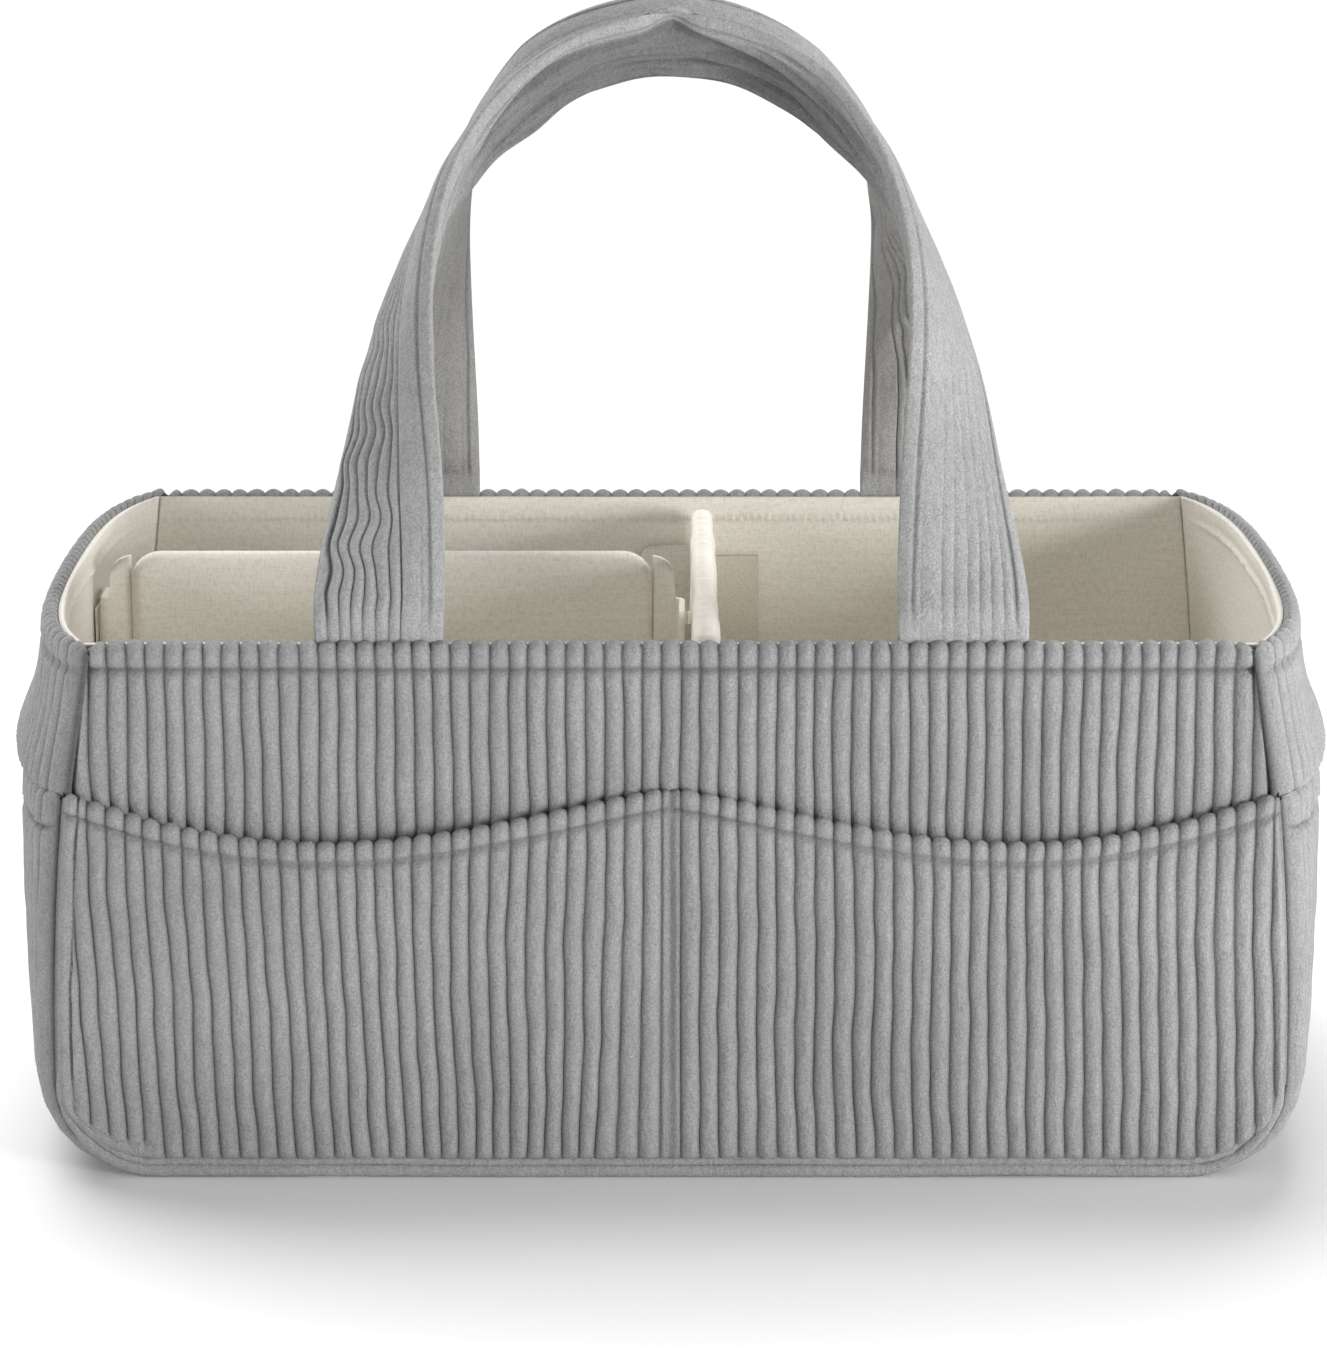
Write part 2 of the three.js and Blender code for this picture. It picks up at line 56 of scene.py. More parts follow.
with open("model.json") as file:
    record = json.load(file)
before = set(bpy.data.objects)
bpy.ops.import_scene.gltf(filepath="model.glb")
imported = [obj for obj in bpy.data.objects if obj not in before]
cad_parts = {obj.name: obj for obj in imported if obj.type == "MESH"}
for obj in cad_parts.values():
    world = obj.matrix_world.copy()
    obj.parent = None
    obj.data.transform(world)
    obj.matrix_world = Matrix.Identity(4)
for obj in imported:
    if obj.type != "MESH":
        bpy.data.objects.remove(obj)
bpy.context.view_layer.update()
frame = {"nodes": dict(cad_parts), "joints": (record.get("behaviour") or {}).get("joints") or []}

GUSSET_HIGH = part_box("gusset")[1]
PIPING_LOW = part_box("front_piping")[0]
HEM_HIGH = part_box("front_pocket")[1].z
SIDE_HEM_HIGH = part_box("left_pocket")[1].z

# Columns over one cord, and the cords at a sheet's ends that get more of them
WALE_PHASES = (0, 0.07, 0.19, 0.34, 0.5, 0.66, 0.81, 0.93)
EDGE_WALES = 2
# How far the cords of an end pocket slant, from its left seam (-1) to its right one (1)
POCKET_SLANT = (
    (-1, -0.8, -0.5, -0.32, -0.1, 0, 0.15, 0.4, 0.8, 1),
    (0.0040, 0.0027, 0.0027, 0.0004, -0.0027, 0, 0.0010, 0.0024, 0.0023, 0.0040),
)
# A pocket swells through this share of a half wave, from its foot to its hem
POCKET_WAVE = 0.62
# How far the cloth comes down inside the rim
RIM_LEG = 0.014
# From the outside of the bag to its lining, and from knot to knot of the lining's sewn line
LINING_INSET = 0.0056
KNOT_PITCH = 0.0025
# Half-widths of the furrow that a sewn line draws and of the shade along a seam
STITCH = 0.0009
SEAM_SHADE = 0.0012
# Spots of a sheet this near each other are merged
MERGE_WITHIN = 0.00002


def metres(name, description, default):
    return FloatProperty(name=name, description=description, default=default, unit="LENGTH")


def tint(name, description, default):
    return FloatVectorProperty(name=name, description=description, default=default, size=3, subtype="COLOR")


class CaddySizes(bpy.types.PropertyGroup):
    height: metres("Height", "Rim above the floor", GUSSET_HIGH.z)
    width: metres("Width", "Front panel from seam to seam", 0.380)
    depth: metres("Depth", "Front seam to back seam", -2 * PIPING_LOW.y)
    corner: metres("Corner", "Radius of the lower corners", 0.030)
    rim_draw: metres("Rim draw", "How far the seams draw in at the rim", 0.012)
    wale_pitch: metres("Wale pitch", "From one cord of the cloth to the next", 0.0058)
    wale_height: metres("Wale height", "Cord above the groove", 0.0016)
    cloth: metres("Cloth", "Thickness of the backing cloth", 0.0011)
    pocket_dip: metres("Pocket dip", "How far the hem dips in each pocket", 0.016)
    strap_width: metres("Strap width", "Width of a handle strap", 0.038)
    strap_thickness: metres("Strap thickness", "Padded thickness of a strap", 0.008)
    divider_thickness: metres("Divider thickness", "Padded thickness of a divider", 0.008)


class CaddyColours(bpy.types.PropertyGroup):
    cord: tint("Corduroy", "Top of the cords", (0.325, 0.325, 0.325))
    # Painted shade: the grooves between the cords get this darker colour on top of the shade that the relief
    # casts
    groove: tint("Groove", "Between the cords", (0.185, 0.185, 0.185))
    linen: tint("Linen", "Lining and dividers", (0.85, 0.82, 0.755))
    tape: tint("Tape", "Hook-and-loop tape", (0.76, 0.71, 0.61))
    board: tint("Board", "Stiffener board", (0.45, 0.38, 0.28))


class BagForm:
    """The bag's form, as in the frame: rounded below, side walls that swell at mid-depth, seams that draw in
    towards the rim."""

    def __init__(self, size):
        self.size = size
        self.half_depth = size.depth / 2
        self.flat = size.width / 2 - size.corner
        self.swell_reach = GUSSET_HIGH.x - size.width / 2

    def mid(self, y, power=0.6):
        """1 at mid-depth, falling to 0 at the front and back seams."""
        return np.maximum(0, 1 - (y / self.half_depth) ** 2) ** power

    def half_width(self, y, z, inset):
        rise = np.maximum(0, (z - self.size.corner) / (self.size.height - self.size.corner))
        edge = np.minimum(1, np.abs(y) / self.half_depth) ** 5
        swell = self.swell_reach * self.mid(y)
        return self.size.width / 2 + swell - self.size.rim_draw * rise**2 * edge - inset

    def corner_at(self, turn, inset, y):
        """Half-width and height round the lower corner: turn 0 at the wall and a quarter turn at the base."""
        reach = self.size.corner + self.swell_reach * self.mid(y) - inset
        return self.flat + reach * np.cos(turn), self.size.corner - (self.size.corner - inset) * np.sin(turn)

    def base_half(self, down):
        return self.flat * (5 - 2 * down)

    def strip_at(self, side, down, inset, y, half, z, base_z):
        """x and height on a strip: down the wall to 1, round the corner to 2, then along the base."""
        corner_half, corner_z = self.corner_at(np.clip(down - 1, 0, 1) * math.pi / 2, inset, y)
        half = np.where(down <= 1, half, np.where(down <= 2, corner_half, self.base_half(down)))
        return side * half, np.where(down <= 1, z, np.where(down <= 2, corner_z, base_z))


def wander(a, b, seed):
    """Smooth unevenness between about -1 and 1 over two coordinates."""
    total = 0
    for k in range(1, 7):
        heading = seed * 1.3 + k * 2.4
        pace = 0.6 + 0.37 * k
        total = total + np.sin(pace * (a * np.cos(heading) + b * np.sin(heading)) + seed * k * 1.7)
    return total / 3.4


def smooth(value):
    value = np.clip(value, 0, 1)
    return value * value * (3 - 2 * value)


def dip(distance, width):
    return np.exp(-((distance / width) ** 2))


def wale_columns(count, fine=0):
    """Columns of a sheet: a few for each cord, and more for as many cords at each end as fine says."""
    inner = [wale + phase for wale in range(fine, count - fine) for phase in WALE_PHASES]
    ends = np.arange(0, fine, 1 / 24)
    return np.concatenate([ends, inner, [count - fine], count - ends[::-1]] if fine else [inner, [count]])


def wale_rise(u):
    return np.maximum(0, np.cos(math.pi / 2 * np.abs(2 * (u % 1) - 1))) ** 0.7


def stages(*runs):
    """One even run of steps after another: (from, to, steps)."""
    parts = [np.array([runs[0][0]], float)]
    for start, end, steps in runs:
        parts.append(np.linspace(start, end, steps + 1)[1:])
    return np.concatenate(parts)


def spots(mesh):
    at = np.empty(len(mesh.vertices) * 3)
    mesh.vertices.foreach_get("co", at)
    return at.reshape(-1, 3)


def lay_sheet(name, us, vs, place, material, slab=True):
    """A closed sheet: a grid raised into a slab, then laid by place(u, v, w), with w 0 outside and 1 inside,
    which gives each spot and its place on the cloth map. A tube stays one skin, whose long edges meet."""
    bm = bmesh.new()
    bmesh.ops.create_grid(bm, x_segments=len(us) - 1, y_segments=len(vs) - 1, size=0.5)
    if slab:
        raised = bmesh.ops.extrude_face_region(bm, geom=bm.faces[:])
        for part in raised["geom"]:
            if isinstance(part, bmesh.types.BMVert):
                part.co.z = 1
    mesh = bpy.data.meshes.new(name)
    bm.to_mesh(mesh)
    bm.free()
    at = spots(mesh)
    u = np.interp(at[:, 0] + 0.5, np.linspace(0, 1, len(us)), us)
    v = np.interp(at[:, 1] + 0.5, np.linspace(0, 1, len(vs)), vs)
    laid = np.stack(np.broadcast_arrays(*place(u, v, at[:, 2])), axis=1)
    mesh.vertices.foreach_set("co", laid[:, :3].ravel())
    corner_vertex = np.empty(len(mesh.loops), int)
    mesh.loops.foreach_get("vertex_index", corner_vertex)
    layer = mesh.uv_layers.new(name="cloth")
    layer.data.foreach_set("uv", laid[corner_vertex, 3:].astype(np.float32).ravel())
    bm = bmesh.new()
    bm.from_mesh(mesh)
    bmesh.ops.remove_doubles(bm, verts=bm.verts[:], dist=MERGE_WITHIN)
    bmesh.ops.holes_fill(bm, edges=[edge for edge in bm.edges if edge.is_boundary], sides=0)
    bmesh.ops.recalc_face_normals(bm, faces=bm.faces[:])
    bm.to_mesh(mesh)
    bm.free()
    mesh.shade_smooth()
    mesh.materials.append(material)
    piece = bpy.data.objects.new(name, mesh)
    bpy.context.scene.collection.objects.link(piece)
    return piece


def turn_half(piece):
    """Turns a front piece round to the back, in its mesh."""
    at = spots(piece.data) * (-1, -1, 1)
    piece.data.vertices.foreach_set("co", at.ravel())
    piece.data.update()


def dress(piece, body, slot, *nodes, turned=False):
    """Hangs a piece on its body and hides the frame's nodes that it stands in for; the slot is not used. A
    front piece made for the back is turned round first.
    """
    if turned:
        turn_half(piece)
    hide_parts(*nodes)
    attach(piece, body)


# Materials
class Nodes:
    """A tree of nodes, built from left to right."""

    def __init__(self, tree):
        self.tree = tree

    def feed(self, socket, value):
        """Links an output to a socket, or sets the socket to a number, a scale or a colour."""
        if isinstance(value, bpy.types.NodeSocket):
            self.tree.links.new(value, socket)
        else:
            socket.default_value = (*value, 1) if socket.type == "RGBA" else value

    def add(self, kind, inputs=None, **settings):
        node = self.tree.nodes.new(kind)
        for name, value in settings.items():
            setattr(node, name, value)
        for name, value in (inputs or {}).items():
            self.feed(node.inputs[name], value)
        return node

    def math(self, operation, *values):
        node = self.add("ShaderNodeMath", operation=operation)
        for socket, value in zip(node.inputs, values):
            self.feed(socket, value)
        return node.outputs[0]

    def seen(self):
        """1 for what the camera sees, also in a mirror or through glass, and 0 for light on the object."""
        path = self.add("ShaderNodeLightPath")
        seen = self.math("MAXIMUM", path.outputs["Is Camera Ray"], path.outputs["Is Glossy Ray"])
        return self.math("MAXIMUM", seen, path.outputs["Is Transmission Ray"])


class Finish(Nodes):
    """A material on the piece's own cloth map or on its Object coordinates."""

    def __init__(self, name):
        self.material = bpy.data.materials.new(name)
        self.material.use_nodes = True
        super().__init__(self.material.node_tree)
        self.shader = self.tree.nodes["Principled BSDF"]

    def here(self):
        return self.add("ShaderNodeTexCoord").outputs["Object"]

    def cloth_map(self):
        return self.add("ShaderNodeUVMap", uv_map="cloth").outputs[0]

    def stretched(self, source, scale):
        return self.add("ShaderNodeMapping", {"Vector": source, "Scale": scale}).outputs[0]

    def noise(self, vector, scale, detail=2.0):
        inputs = {"Vector": vector, "Scale": scale, "Detail": detail}
        return self.add("ShaderNodeTexNoise", inputs).outputs["Fac"]

    def ramp(self, value, stops):
        node = self.add("ShaderNodeValToRGB", {"Fac": value})
        elements = node.color_ramp.elements
        while len(elements) < len(stops):
            elements.new(0.5)
        for element, (place, colour) in zip(elements, stops):
            element.position = place
            element.color = (*colour, 1)
        return node.outputs["Color"]

    def greys(self, value, *stops):
        """A ramp of greys to multiply a colour by, from (place, grey) stops."""
        return self.ramp(value, [(place, (grey, grey, grey)) for place, grey in stops])

    def blended(self, amount, first, second, kind="MIX"):
        node = self.add("ShaderNodeMix", {"Factor": amount}, data_type="RGBA", blend_type=kind)
        colours = [socket for socket in node.inputs if socket.type == "RGBA"]
        for socket, value in zip(colours, (first, second)):
            self.feed(socket, value)
        return next(socket for socket in node.outputs if socket.type == "RGBA")

    def layered(self, colour, *layers):
        for layer in layers:
            colour = self.blended(1.0, colour, layer, "MULTIPLY")
        return colour

    def bump(self, height, strength, distance, below=None):
        node = self.add("ShaderNodeBump", {"Strength": strength, "Distance": distance, "Height": height})
        if below is not None:
            self.feed(node.inputs["Normal"], below)
        return node.outputs["Normal"]

    def close(self, colour, normal=None, *, roughness, sheen=0.0, specular=0.2):
        inputs = self.shader.inputs
        inputs["Roughness"].default_value = roughness
        inputs["Sheen Weight"].default_value = sheen
        inputs["Sheen Roughness"].default_value = 0.5
        inputs["Specular IOR Level"].default_value = specular
        self.feed(inputs["Base Color"], colour)
        if normal is not None:
            self.feed(inputs["Normal"], normal)
        return self.material


def corduroy_finish(name, colours, groove_share, top_gain=1.0):
    """Soft pile in round cords. The cloth map gives the place across a cord and how much painted shade it
    gets along sewn lines, along seams and on a strap's inner face over the top. The grooves take painted
    shade in their colour: groove_share is how much of it, and the last argument is how much lighter the tops
    of the cords are."""
    finish = Finish(name)
    split = finish.add("ShaderNodeSeparateXYZ", {"Vector": finish.cloth_map()})
    across = finish.math("FRACT", split.outputs["X"])
    edge = finish.math("ABSOLUTE", finish.math("SUBTRACT", finish.math("MULTIPLY", across, 2.0), 1.0))
    here = finish.here()
    tuft = finish.noise(here, 1500, 3.0)
    nap = finish.noise(finish.stretched(here, (1, 1, 0.4)), 520, 3.0)
    ribs = finish.noise(finish.stretched(here, (0.25, 0.25, 1)), 1700)
    patch = finish.noise(here, 26)
    ragged = finish.math("ADD", edge, finish.math("MULTIPLY", finish.math("SUBTRACT", nap, 0.5), 0.3))
    tops = tuple(top_gain * channel for channel in colours.cord)
    # Painted shade: the grooves are coloured darker than the cord tops, with the flanks in between
    grooves = tuple(top + (low - top) * groove_share for top, low in zip(tops, colours.groove))
    flanks = tuple(top * 0.86 + low * 0.14 for top, low in zip(tops, grooves))
    shaded = finish.ramp(ragged, [(0.0, tops), (0.45, tops), (0.7, flanks), (1.0, grooves)])
    speckled = finish.greys(tuft, (0.3, 0.8), (0.7, 1.18))
    brushed = finish.greys(nap, (0.3, 0.92), (0.7, 1.07))
    worn = finish.greys(patch, (0.3, 0.93), (0.7, 1.06))
    # Painted shade along sewn lines, seams and the straps' inner faces, carried in the cloth map's second
    # coordinate
    sewn = finish.greys(split.outputs["Y"], (0.0, 1), (1.0, 0.45))
    colour = finish.layered(shaded, speckled, brushed, worn, sewn)
    fuzz = finish.bump(tuft, 0.7, 0.0005)
    fuzz = finish.bump(ribs, 0.45, 0.0004, fuzz)
    fuzz = finish.bump(nap, 0.5, 0.0009, fuzz)
    return finish.close(colour, fuzz, roughness=1.0, sheen=0.12, specular=0.0)


def linen_finish(colours):
    """Plain square weave with a few slubs, about two threads a millimetre."""
    finish = Finish("slub_linen")
    cloth = finish.cloth_map()
    warp = finish.noise(finish.stretched(cloth, (1, 0.3, 1)), 1300)
    weft = finish.noise(finish.stretched(cloth, (0.3, 1, 1)), 1300)
    slub = finish.noise(finish.stretched(cloth, (0.1, 1, 1)), 420)
    patch = finish.noise(cloth, 18)
    weave = finish.math("MULTIPLY", finish.math("ADD", warp, weft), 0.5)
    threads = [(0.38, (0.9, 0.89, 0.86)), (0.52, (1.0, 1.0, 1.0)), (0.66, (1.04, 1.04, 1.04))]
    light = finish.ramp(slub, [(0.45, (0.985, 0.985, 0.98)), (0.72, (1.03, 1.03, 1.03))])
    worn = finish.ramp(patch, [(0.3, (0.98, 0.975, 0.965)), (0.7, (1.02, 1.02, 1.02))])
    colour = finish.layered(finish.ramp(weave, threads), colours.linen, light, worn)
    relief = finish.bump(weave, 0.5, 0.0004)
    relief = finish.bump(slub, 0.2, 0.0005, relief)
    return finish.close(colour, relief, roughness=0.95, sheen=0.1, specular=0.05)


def tape_finish(colours):
    """Hook-and-loop tape: fine loops on a woven ground."""
    finish = Finish("hook_and_loop_tape")
    loops = finish.noise(finish.here(), 1900, 3.0)
    base = tuple(colours.tape)
    colour = finish.ramp(loops, [(0.35, tuple(c * 0.85 for c in base)), (0.6, base)])
    return finish.close(colour, finish.bump(loops, 0.8, 0.0005), roughness=0.8, sheen=0.2)


def board_finish(colours):
    """Pressed fibre board with a mottled face."""
    finish = Finish("pressed_board")
    here = finish.here()
    grain = finish.noise(here, 900, 4.0)
    blotch = finish.noise(here, 60, 3.0)
    dark, light = (tuple(gain * c for c in colours.board) for gain in (0.8, 1.1))
    mottle = finish.greys(blotch, (0.3, 0.92), (0.7, 1.05))
    colour = finish.layered(finish.ramp(grain, [(0.3, dark), (0.7, light)]), mottle)
    return finish.close(colour, finish.bump(grain, 0.3, 0.0003), roughness=0.75)


def over_edge(v, low, top, radius, leg):
    """Cloth that rises, turns over an edge and comes down inside. v runs 0 to 1 up the face, 1 to 2 over the
    edge and 2 to 3 down the inner leg. Gives the way in, the height and the outward and upward shares."""
    turn = np.clip(v - 1, 0, 1) * math.pi
    down = np.clip(v - 2, 0, 1) * leg
    height = low + (top - radius - low) * np.clip(v, 0, 1) + radius * np.sin(turn) - down
    return radius * (1 - np.cos(turn)), height, np.cos(turn), np.sin(turn)


class FrontOutline:
    """The seam line of the front's sheets, and the straight cords that it cuts off. The sheets go one cord
    past it on each side."""

    def __init__(self, form, side_inset, base_inset):
        self.form, self.side_inset, self.base_inset = form, side_inset, base_inset
        self.reach = form.size.width / 2 - side_inset
        self.wales = round(2 * self.reach / form.size.wale_pitch) + 2
        self.columns = wale_columns(self.wales, EDGE_WALES + 1)

    def across(self, u):
        """From -1 at the left seam to 1 at the right one."""
        return (2 * u - self.wales) / (self.wales - 2)

    def low_z(self, x):
        size = self.form.size
        beside = np.clip((np.abs(x) - self.form.flat) / (size.corner - self.side_inset), 0, 1)
        return size.corner - (size.corner - self.base_inset) * np.sqrt(1 - beside**2)

    def cut(self, x, z, kept_back=0):
        """x held inside the seam, and the distance to the seam."""
        half = self.form.half_width(self.form.half_depth - 0.0012, z, self.side_inset + kept_back)
        held = np.clip(x, -half, half)
        return held, np.minimum(half - np.abs(held), z - self.low_z(held))


def end_panel(form, name, seed, material):
    """The front panel, turned over the rim."""
    size = form.size
    outline = FrontOutline(form, side_inset=0.0018, base_inset=0.0050)
    radius, face = 0.0021, -form.half_depth + 0.0029
    top = size.height - 0.001

    def place(u, v, w):
        x = outline.reach * outline.across(u) + 0.0002 * wander(u * 1.7, v * 20, seed + 5)
        inwards, z, outward, upward = over_edge(v, outline.low_z(x), top, radius, RIM_LEG)
        drift = 0.0004 * wander(u * 0.5, z * 55, seed)
        x, free = outline.cut(x + drift, z, 0.0062 * np.clip(v - 1, 0, 1))
        near = smooth(free / 0.0026)
        stitch = dip(z - (size.height - 0.0082), 0.0010) * (v < 1)
        relief = size.wale_height * wale_rise(u) * (1 + 0.1 * wander(u * 2.1, z * 150, seed + 3))
        relief = relief * (1 - 0.8 * stitch) * np.clip(1 + outward, 0, 1) - 0.0009 * stitch
        swell = 0.0009 * dip(z - (size.height - 0.004), 0.0034) * (v < 1.5)
        out = (relief + swell * np.clip(outward, 0, 1)) * near - 0.0005 * (1 - near) - w * size.cloth
        y = face + inwards - outward * out + 0.0004 * wander(u * 0.15, z * 25, seed)
        # Painted shade in the stitched furrow below the rim and along the seam
        sewn = np.maximum(0.8 * stitch, 0.6 * dip(free, SEAM_SHADE) * (v < 1))
        return x, y, z + upward * out, u, sewn

    rows = stages((0, 0.7, 16), (0.7, 1, 28), (1, 2, 8), (2, 3, 2))
    return lay_sheet(name, outline.columns, rows, place, material)


def end_pocket(form, name, seed, material):
    """The double pocket: one puffed panel, sewn down the middle, with a turned hem that dips twice. Its cords
    slant a little, and a smooth roll runs down its left seam."""
    size = form.size
    outline = FrontOutline(form, side_inset=0.0007, base_inset=0.0054)
    radius, roll = 0.0013, 0.0056

    def place(u, v, w):
        side = outline.across(u)
        share = np.minimum(1, np.abs(side))
        crest = HEM_HIGH - size.pocket_dip * np.sin(math.pi * share**1.2)
        x = outline.reach * side
        lean = np.interp(side, *POCKET_SLANT)
        low = outline.low_z(x + 1.2 * lean)
        inwards, z, outward, upward = over_edge(v, low, crest - 0.0004, radius, 0.012)
        lean = lean * np.clip((0.115 - z) / 0.095, 0, 1.2) ** 1.7
        bend = 0.0007 * wander(u * 0.21, z * 30, seed) + 0.00035 * wander(u * 1.1, z * 110, seed + 5)
        x, free = outline.cut(x + lean + bend * (1 - dip(side, 0.04)), z)
        up = np.clip((z - outline.base_inset) / (crest - outline.base_inset), 0, 1)
        puff = 0.0078 * np.sin(up * math.pi * POCKET_WAVE)
        puff = puff * np.maximum(0, np.sin(math.pi * share)) ** 0.8 * (1 - 0.3 * dip(1 - up, 0.2))
        stitch = dip(crest - z - 0.0058, STITCH) * (v < 1)
        middle = dip(side * outline.reach, 0.0013)
        rolled = (x < -form.flat) & (free < roll)
        across = np.where(rolled, np.clip(free / roll, 0, 1), u)
        relief = size.wale_height * wale_rise(across) * (1 + 0.12 * wander(u * 2.3, z * 150, seed + 3))
        relief = relief * (1 - 0.8 * stitch) * (1 - 0.6 * middle) * np.clip(1 + outward, 0, 1)
        relief = relief - 0.0008 * stitch - 0.0007 * middle
        hem = 0.0005 * dip(crest - z - 0.0025, 0.0026) * (v < 1.5)
        near = smooth(free / 0.0026)
        out = (relief + hem * np.clip(outward, 0, 1)) * near - 0.0005 * (1 - near) - w * size.cloth
        y = -form.half_depth + 0.0002 - puff + inwards - outward * out
        # Painted shade along the seam, in the hem's stitched furrow and down the middle seam
        seam = 0.5 * dip(free, SEAM_SHADE) * (v < 1)
        sewn = np.maximum(np.maximum(0.75 * stitch, 0.45 * middle), seam)
        return x, y, z + upward * out, np.where(rolled, 0.5 + 0.7 * (across - 0.5), u), sewn

    rows = stages((0, 0.15, 10), (0.15, 0.85, 22), (0.85, 1, 13), (1, 2, 6), (2, 3, 2))
    return lay_sheet(name, outline.columns, rows, place, material)


def wall_bulge(form, y, z):
    """How far the side wall stands past the frame's: it billows above the gathered pocket, held in below."""
    past = z - SIDE_HEM_HIGH - 0.0015
    above = np.exp(-((np.abs(past) / 0.020) ** 1.5)) * (past >= 0)
    below = dip(past, 0.0050) * (past < 0)
    held = smooth((0.115 - z) / 0.006) * smooth((z - 0.03) / 0.02)
    return form.mid(y) * (0.0118 * (above + below) - 0.0018 * held)


def side_run(v):
    """Side (-1 left, 1 right) and the way down it from 0 at the rim, on a strip that goes under the bag."""
    return np.where(v < 2.5, -1, 1), np.where(v < 2.5, v, 5 - v)


def gusset_strip(form, material):
    """The one strip that makes both side walls and the underside, turned over the rim at each end."""
    size = form.size
    end = form.half_depth - 0.0009
    wales = round(2 * end / size.wale_pitch)
    radius, drawn_in = 0.0020, 0.0085
    top = size.height - 0.001 - radius

    def place(u, v, w):
        side, down = side_run(v)
        y = (2 * u / wales - 1) * (end - drawn_in * np.clip(-2 * down - 1, 0, 1))
        near = smooth((end - np.abs(y)) / 0.0024)
        turn = np.clip(-down, 0, 1) * math.pi
        leg = np.clip(-down - 1, 0, 1) * RIM_LEG
        z = top - (top - size.corner) * np.clip(down, 0, 1)
        seed = 5 + side
        stitch = dip(z - (size.height - 0.0085), STITCH)
        relief = size.wale_height * wale_rise(u) * (1 + 0.1 * wander(u * 2.1, z * 150, seed))
        relief = relief * (1 - 0.8 * stitch) * np.clip(1 + np.cos(turn), 0, 1) - 0.0008 * stitch
        out = relief * near - 0.0013 * (1 - near) - w * size.cloth
        wall = form.half_width(y, z - leg, size.wale_height) + wall_bulge(form, y, z)
        half = wall - radius * (1 - np.cos(turn)) + np.cos(turn) * out
        rim_z = z + radius * np.sin(turn) + np.sin(turn) * out - leg
        inset = size.wale_height - out
        x, height = form.strip_at(side, down, inset, y, half, rim_z, inset)
        drift = 0.0006 * wander(u * 0.5, z * 55, seed + 2) * (1 - (y / end) ** 6)
        # Painted shade in the stitched furrow below the rim and along the seams
        sewn = np.maximum(0.8 * stitch, 0.6 * dip(end - np.abs(y), SEAM_SHADE))
        return x, y + drift, np.maximum(0, height), u, sewn

    wall = ((0, 0.08, 7), (0.08, 0.25, 5), (0.25, 0.45, 15), (0.45, 1, 9))
    down = ((-2, -1, 2), (-1, 0, 10), *wall, (1, 2, 8), (2, 3, 10))
    rows = stages(*down, *((5 - end, 5 - start, steps) for start, end, steps in reversed(down[:-1])))
    return lay_sheet("gusset_cloth", wale_columns(wales), rows, place, material)


def piping_roll(form, name, seed, material, inset, radius, forward):
    """A rolled cord round an end panel, from rim to rim. Up the sides it thins and sinks into the seam."""
    size = form.size
    sides, edge = 14, form.half_depth
    top = size.height - 0.0060

    def place(u, v, w):
        side, down = side_run(v)
        turn = u / sides * 2 * math.pi
        z = top - (top - size.corner) * np.clip(down, 0, 1)
        rise = smooth((z - size.corner) / 0.030)
        uneven = 1 + 0.06 * wander(v * 9, u * 0.4, seed)
        thick = radius * np.where(down < 0, 1 + down, 1.0) * uneven * (1 - 0.6 * rise)
        middle = inset + 0.0003 * wander(v * 14, 0 * u, seed + 1) + 0.0012 * rise
        through = middle - thick * np.cos(turn)
        y = -form.half_depth + forward + 0.0050 * rise + thick * np.sin(turn)
        half = form.half_width(edge, z, through)
        x, height = form.strip_at(side, down, through, edge, half, z, np.maximum(0, through))
        return x, y, height, 0.5 + 0 * u, 0 * u

    rows = stages((-1, 0, 3), (0, 1, 40), (1, 2, 14), (2, 3, 90), (3, 4, 14), (4, 5, 40), (5, 6, 3))
    return lay_sheet(name, np.linspace(0, sides, sides + 1), rows, place, material, slab=False)


